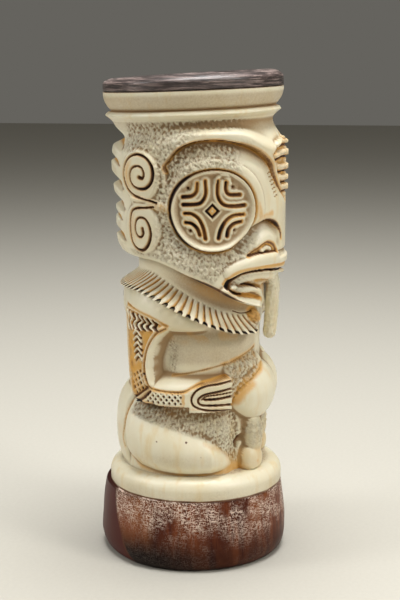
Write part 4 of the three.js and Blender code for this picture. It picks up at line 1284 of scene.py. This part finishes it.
def dress_screws():
    """The three screws keep their own shape and take a brass finish."""
    brass = brass_finish()
    for name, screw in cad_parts.items():
        if name.startswith("base_screw"):
            screw.data.materials.clear()
            screw.data.materials.append(brass)


# ---------------------------------------------------------------- table, light and camera
def lamp(name, where, target, size, power, colour=(1, 1, 1)):
    """A round area light aimed at a target."""
    light = bpy.data.lights.new(name, "AREA")
    light.energy = power
    light.color = colour
    light.shape = "DISK"
    light.size = size
    obj = bpy.data.objects.new(name, light)
    obj.location = where
    obj.rotation_euler = (Vector(target) - Vector(where)).to_track_quat("-Z", "Y").to_euler()
    bpy.context.scene.collection.objects.link(obj)


def build_studio():
    """A pale table, one broad light overhead, three weaker ones round the figure, and the camera."""
    mesh = bpy.data.meshes.new("table")
    half = 3.0
    corners = [(-half, -half, 0), (half, -half, 0), (half, half, 0), (-half, half, 0)]
    mesh.from_pydata(corners, [], [(0, 1, 2, 3)])
    table = bpy.data.objects.new("table", mesh)
    bpy.context.scene.collection.objects.link(table)
    cloth = Finish("pale_table", Roughness=0.85)
    weave = cloth.noise(600, 3)
    cloth.set(Base_Color=cloth.mix((0.455, 0.435, 0.38), (0.505, 0.485, 0.425), weave))
    mesh.materials.append(cloth.material)
    world = bpy.data.worlds.new("studio")
    bpy.context.scene.world = world
    world.use_nodes = True
    sky = world.node_tree.nodes["Background"]
    sky.inputs["Color"].default_value = (1.0, 0.96, 0.86, 1)
    sky.inputs["Strength"].default_value = 0.13
    bpy.context.scene.view_settings.view_transform = "Standard"
    middle = (0, 0, 0.1)
    lamp("overhead", (0.02, -0.05, 0.95), middle, 0.6, 12.5)
    lamp("back_left", (-0.3, 0.85, 0.7), middle, 0.35, 3.5)
    lamp("front_right", (-0.4, -0.8, 0.75), middle, 0.35, 4.6, (1.0, 0.98, 0.94))
    lamp("fill", (-0.95, -0.1, 0.5), middle, 0.5, 0.5, (1.0, 0.93, 0.82))
    camera = bpy.data.cameras.new("camera")
    camera.sensor_width = 36
    camera.lens = 78
    camera.clip_start = 0.01
    view = bpy.data.objects.new("camera", camera)
    off_front = math.radians(83)
    distance = 0.507
    height = 0.1975
    pitch = math.radians(10.9)
    yaw = math.radians(0.29)
    view.location = (-distance * math.sin(off_front), -distance * math.cos(off_front), height)
    view.rotation_euler = (math.pi / 2 - pitch, 0, -off_front - yaw)
    bpy.context.scene.collection.objects.link(view)
    bpy.context.scene.camera = view


BONE = bone_finish()
carve_head()
carve_collar()
carve_ruff()
carve_body()
carve_plinth()
build_tongue()
build_base()
build_rim()
build_liner()
build_pad()
dress_screws()
build_studio()
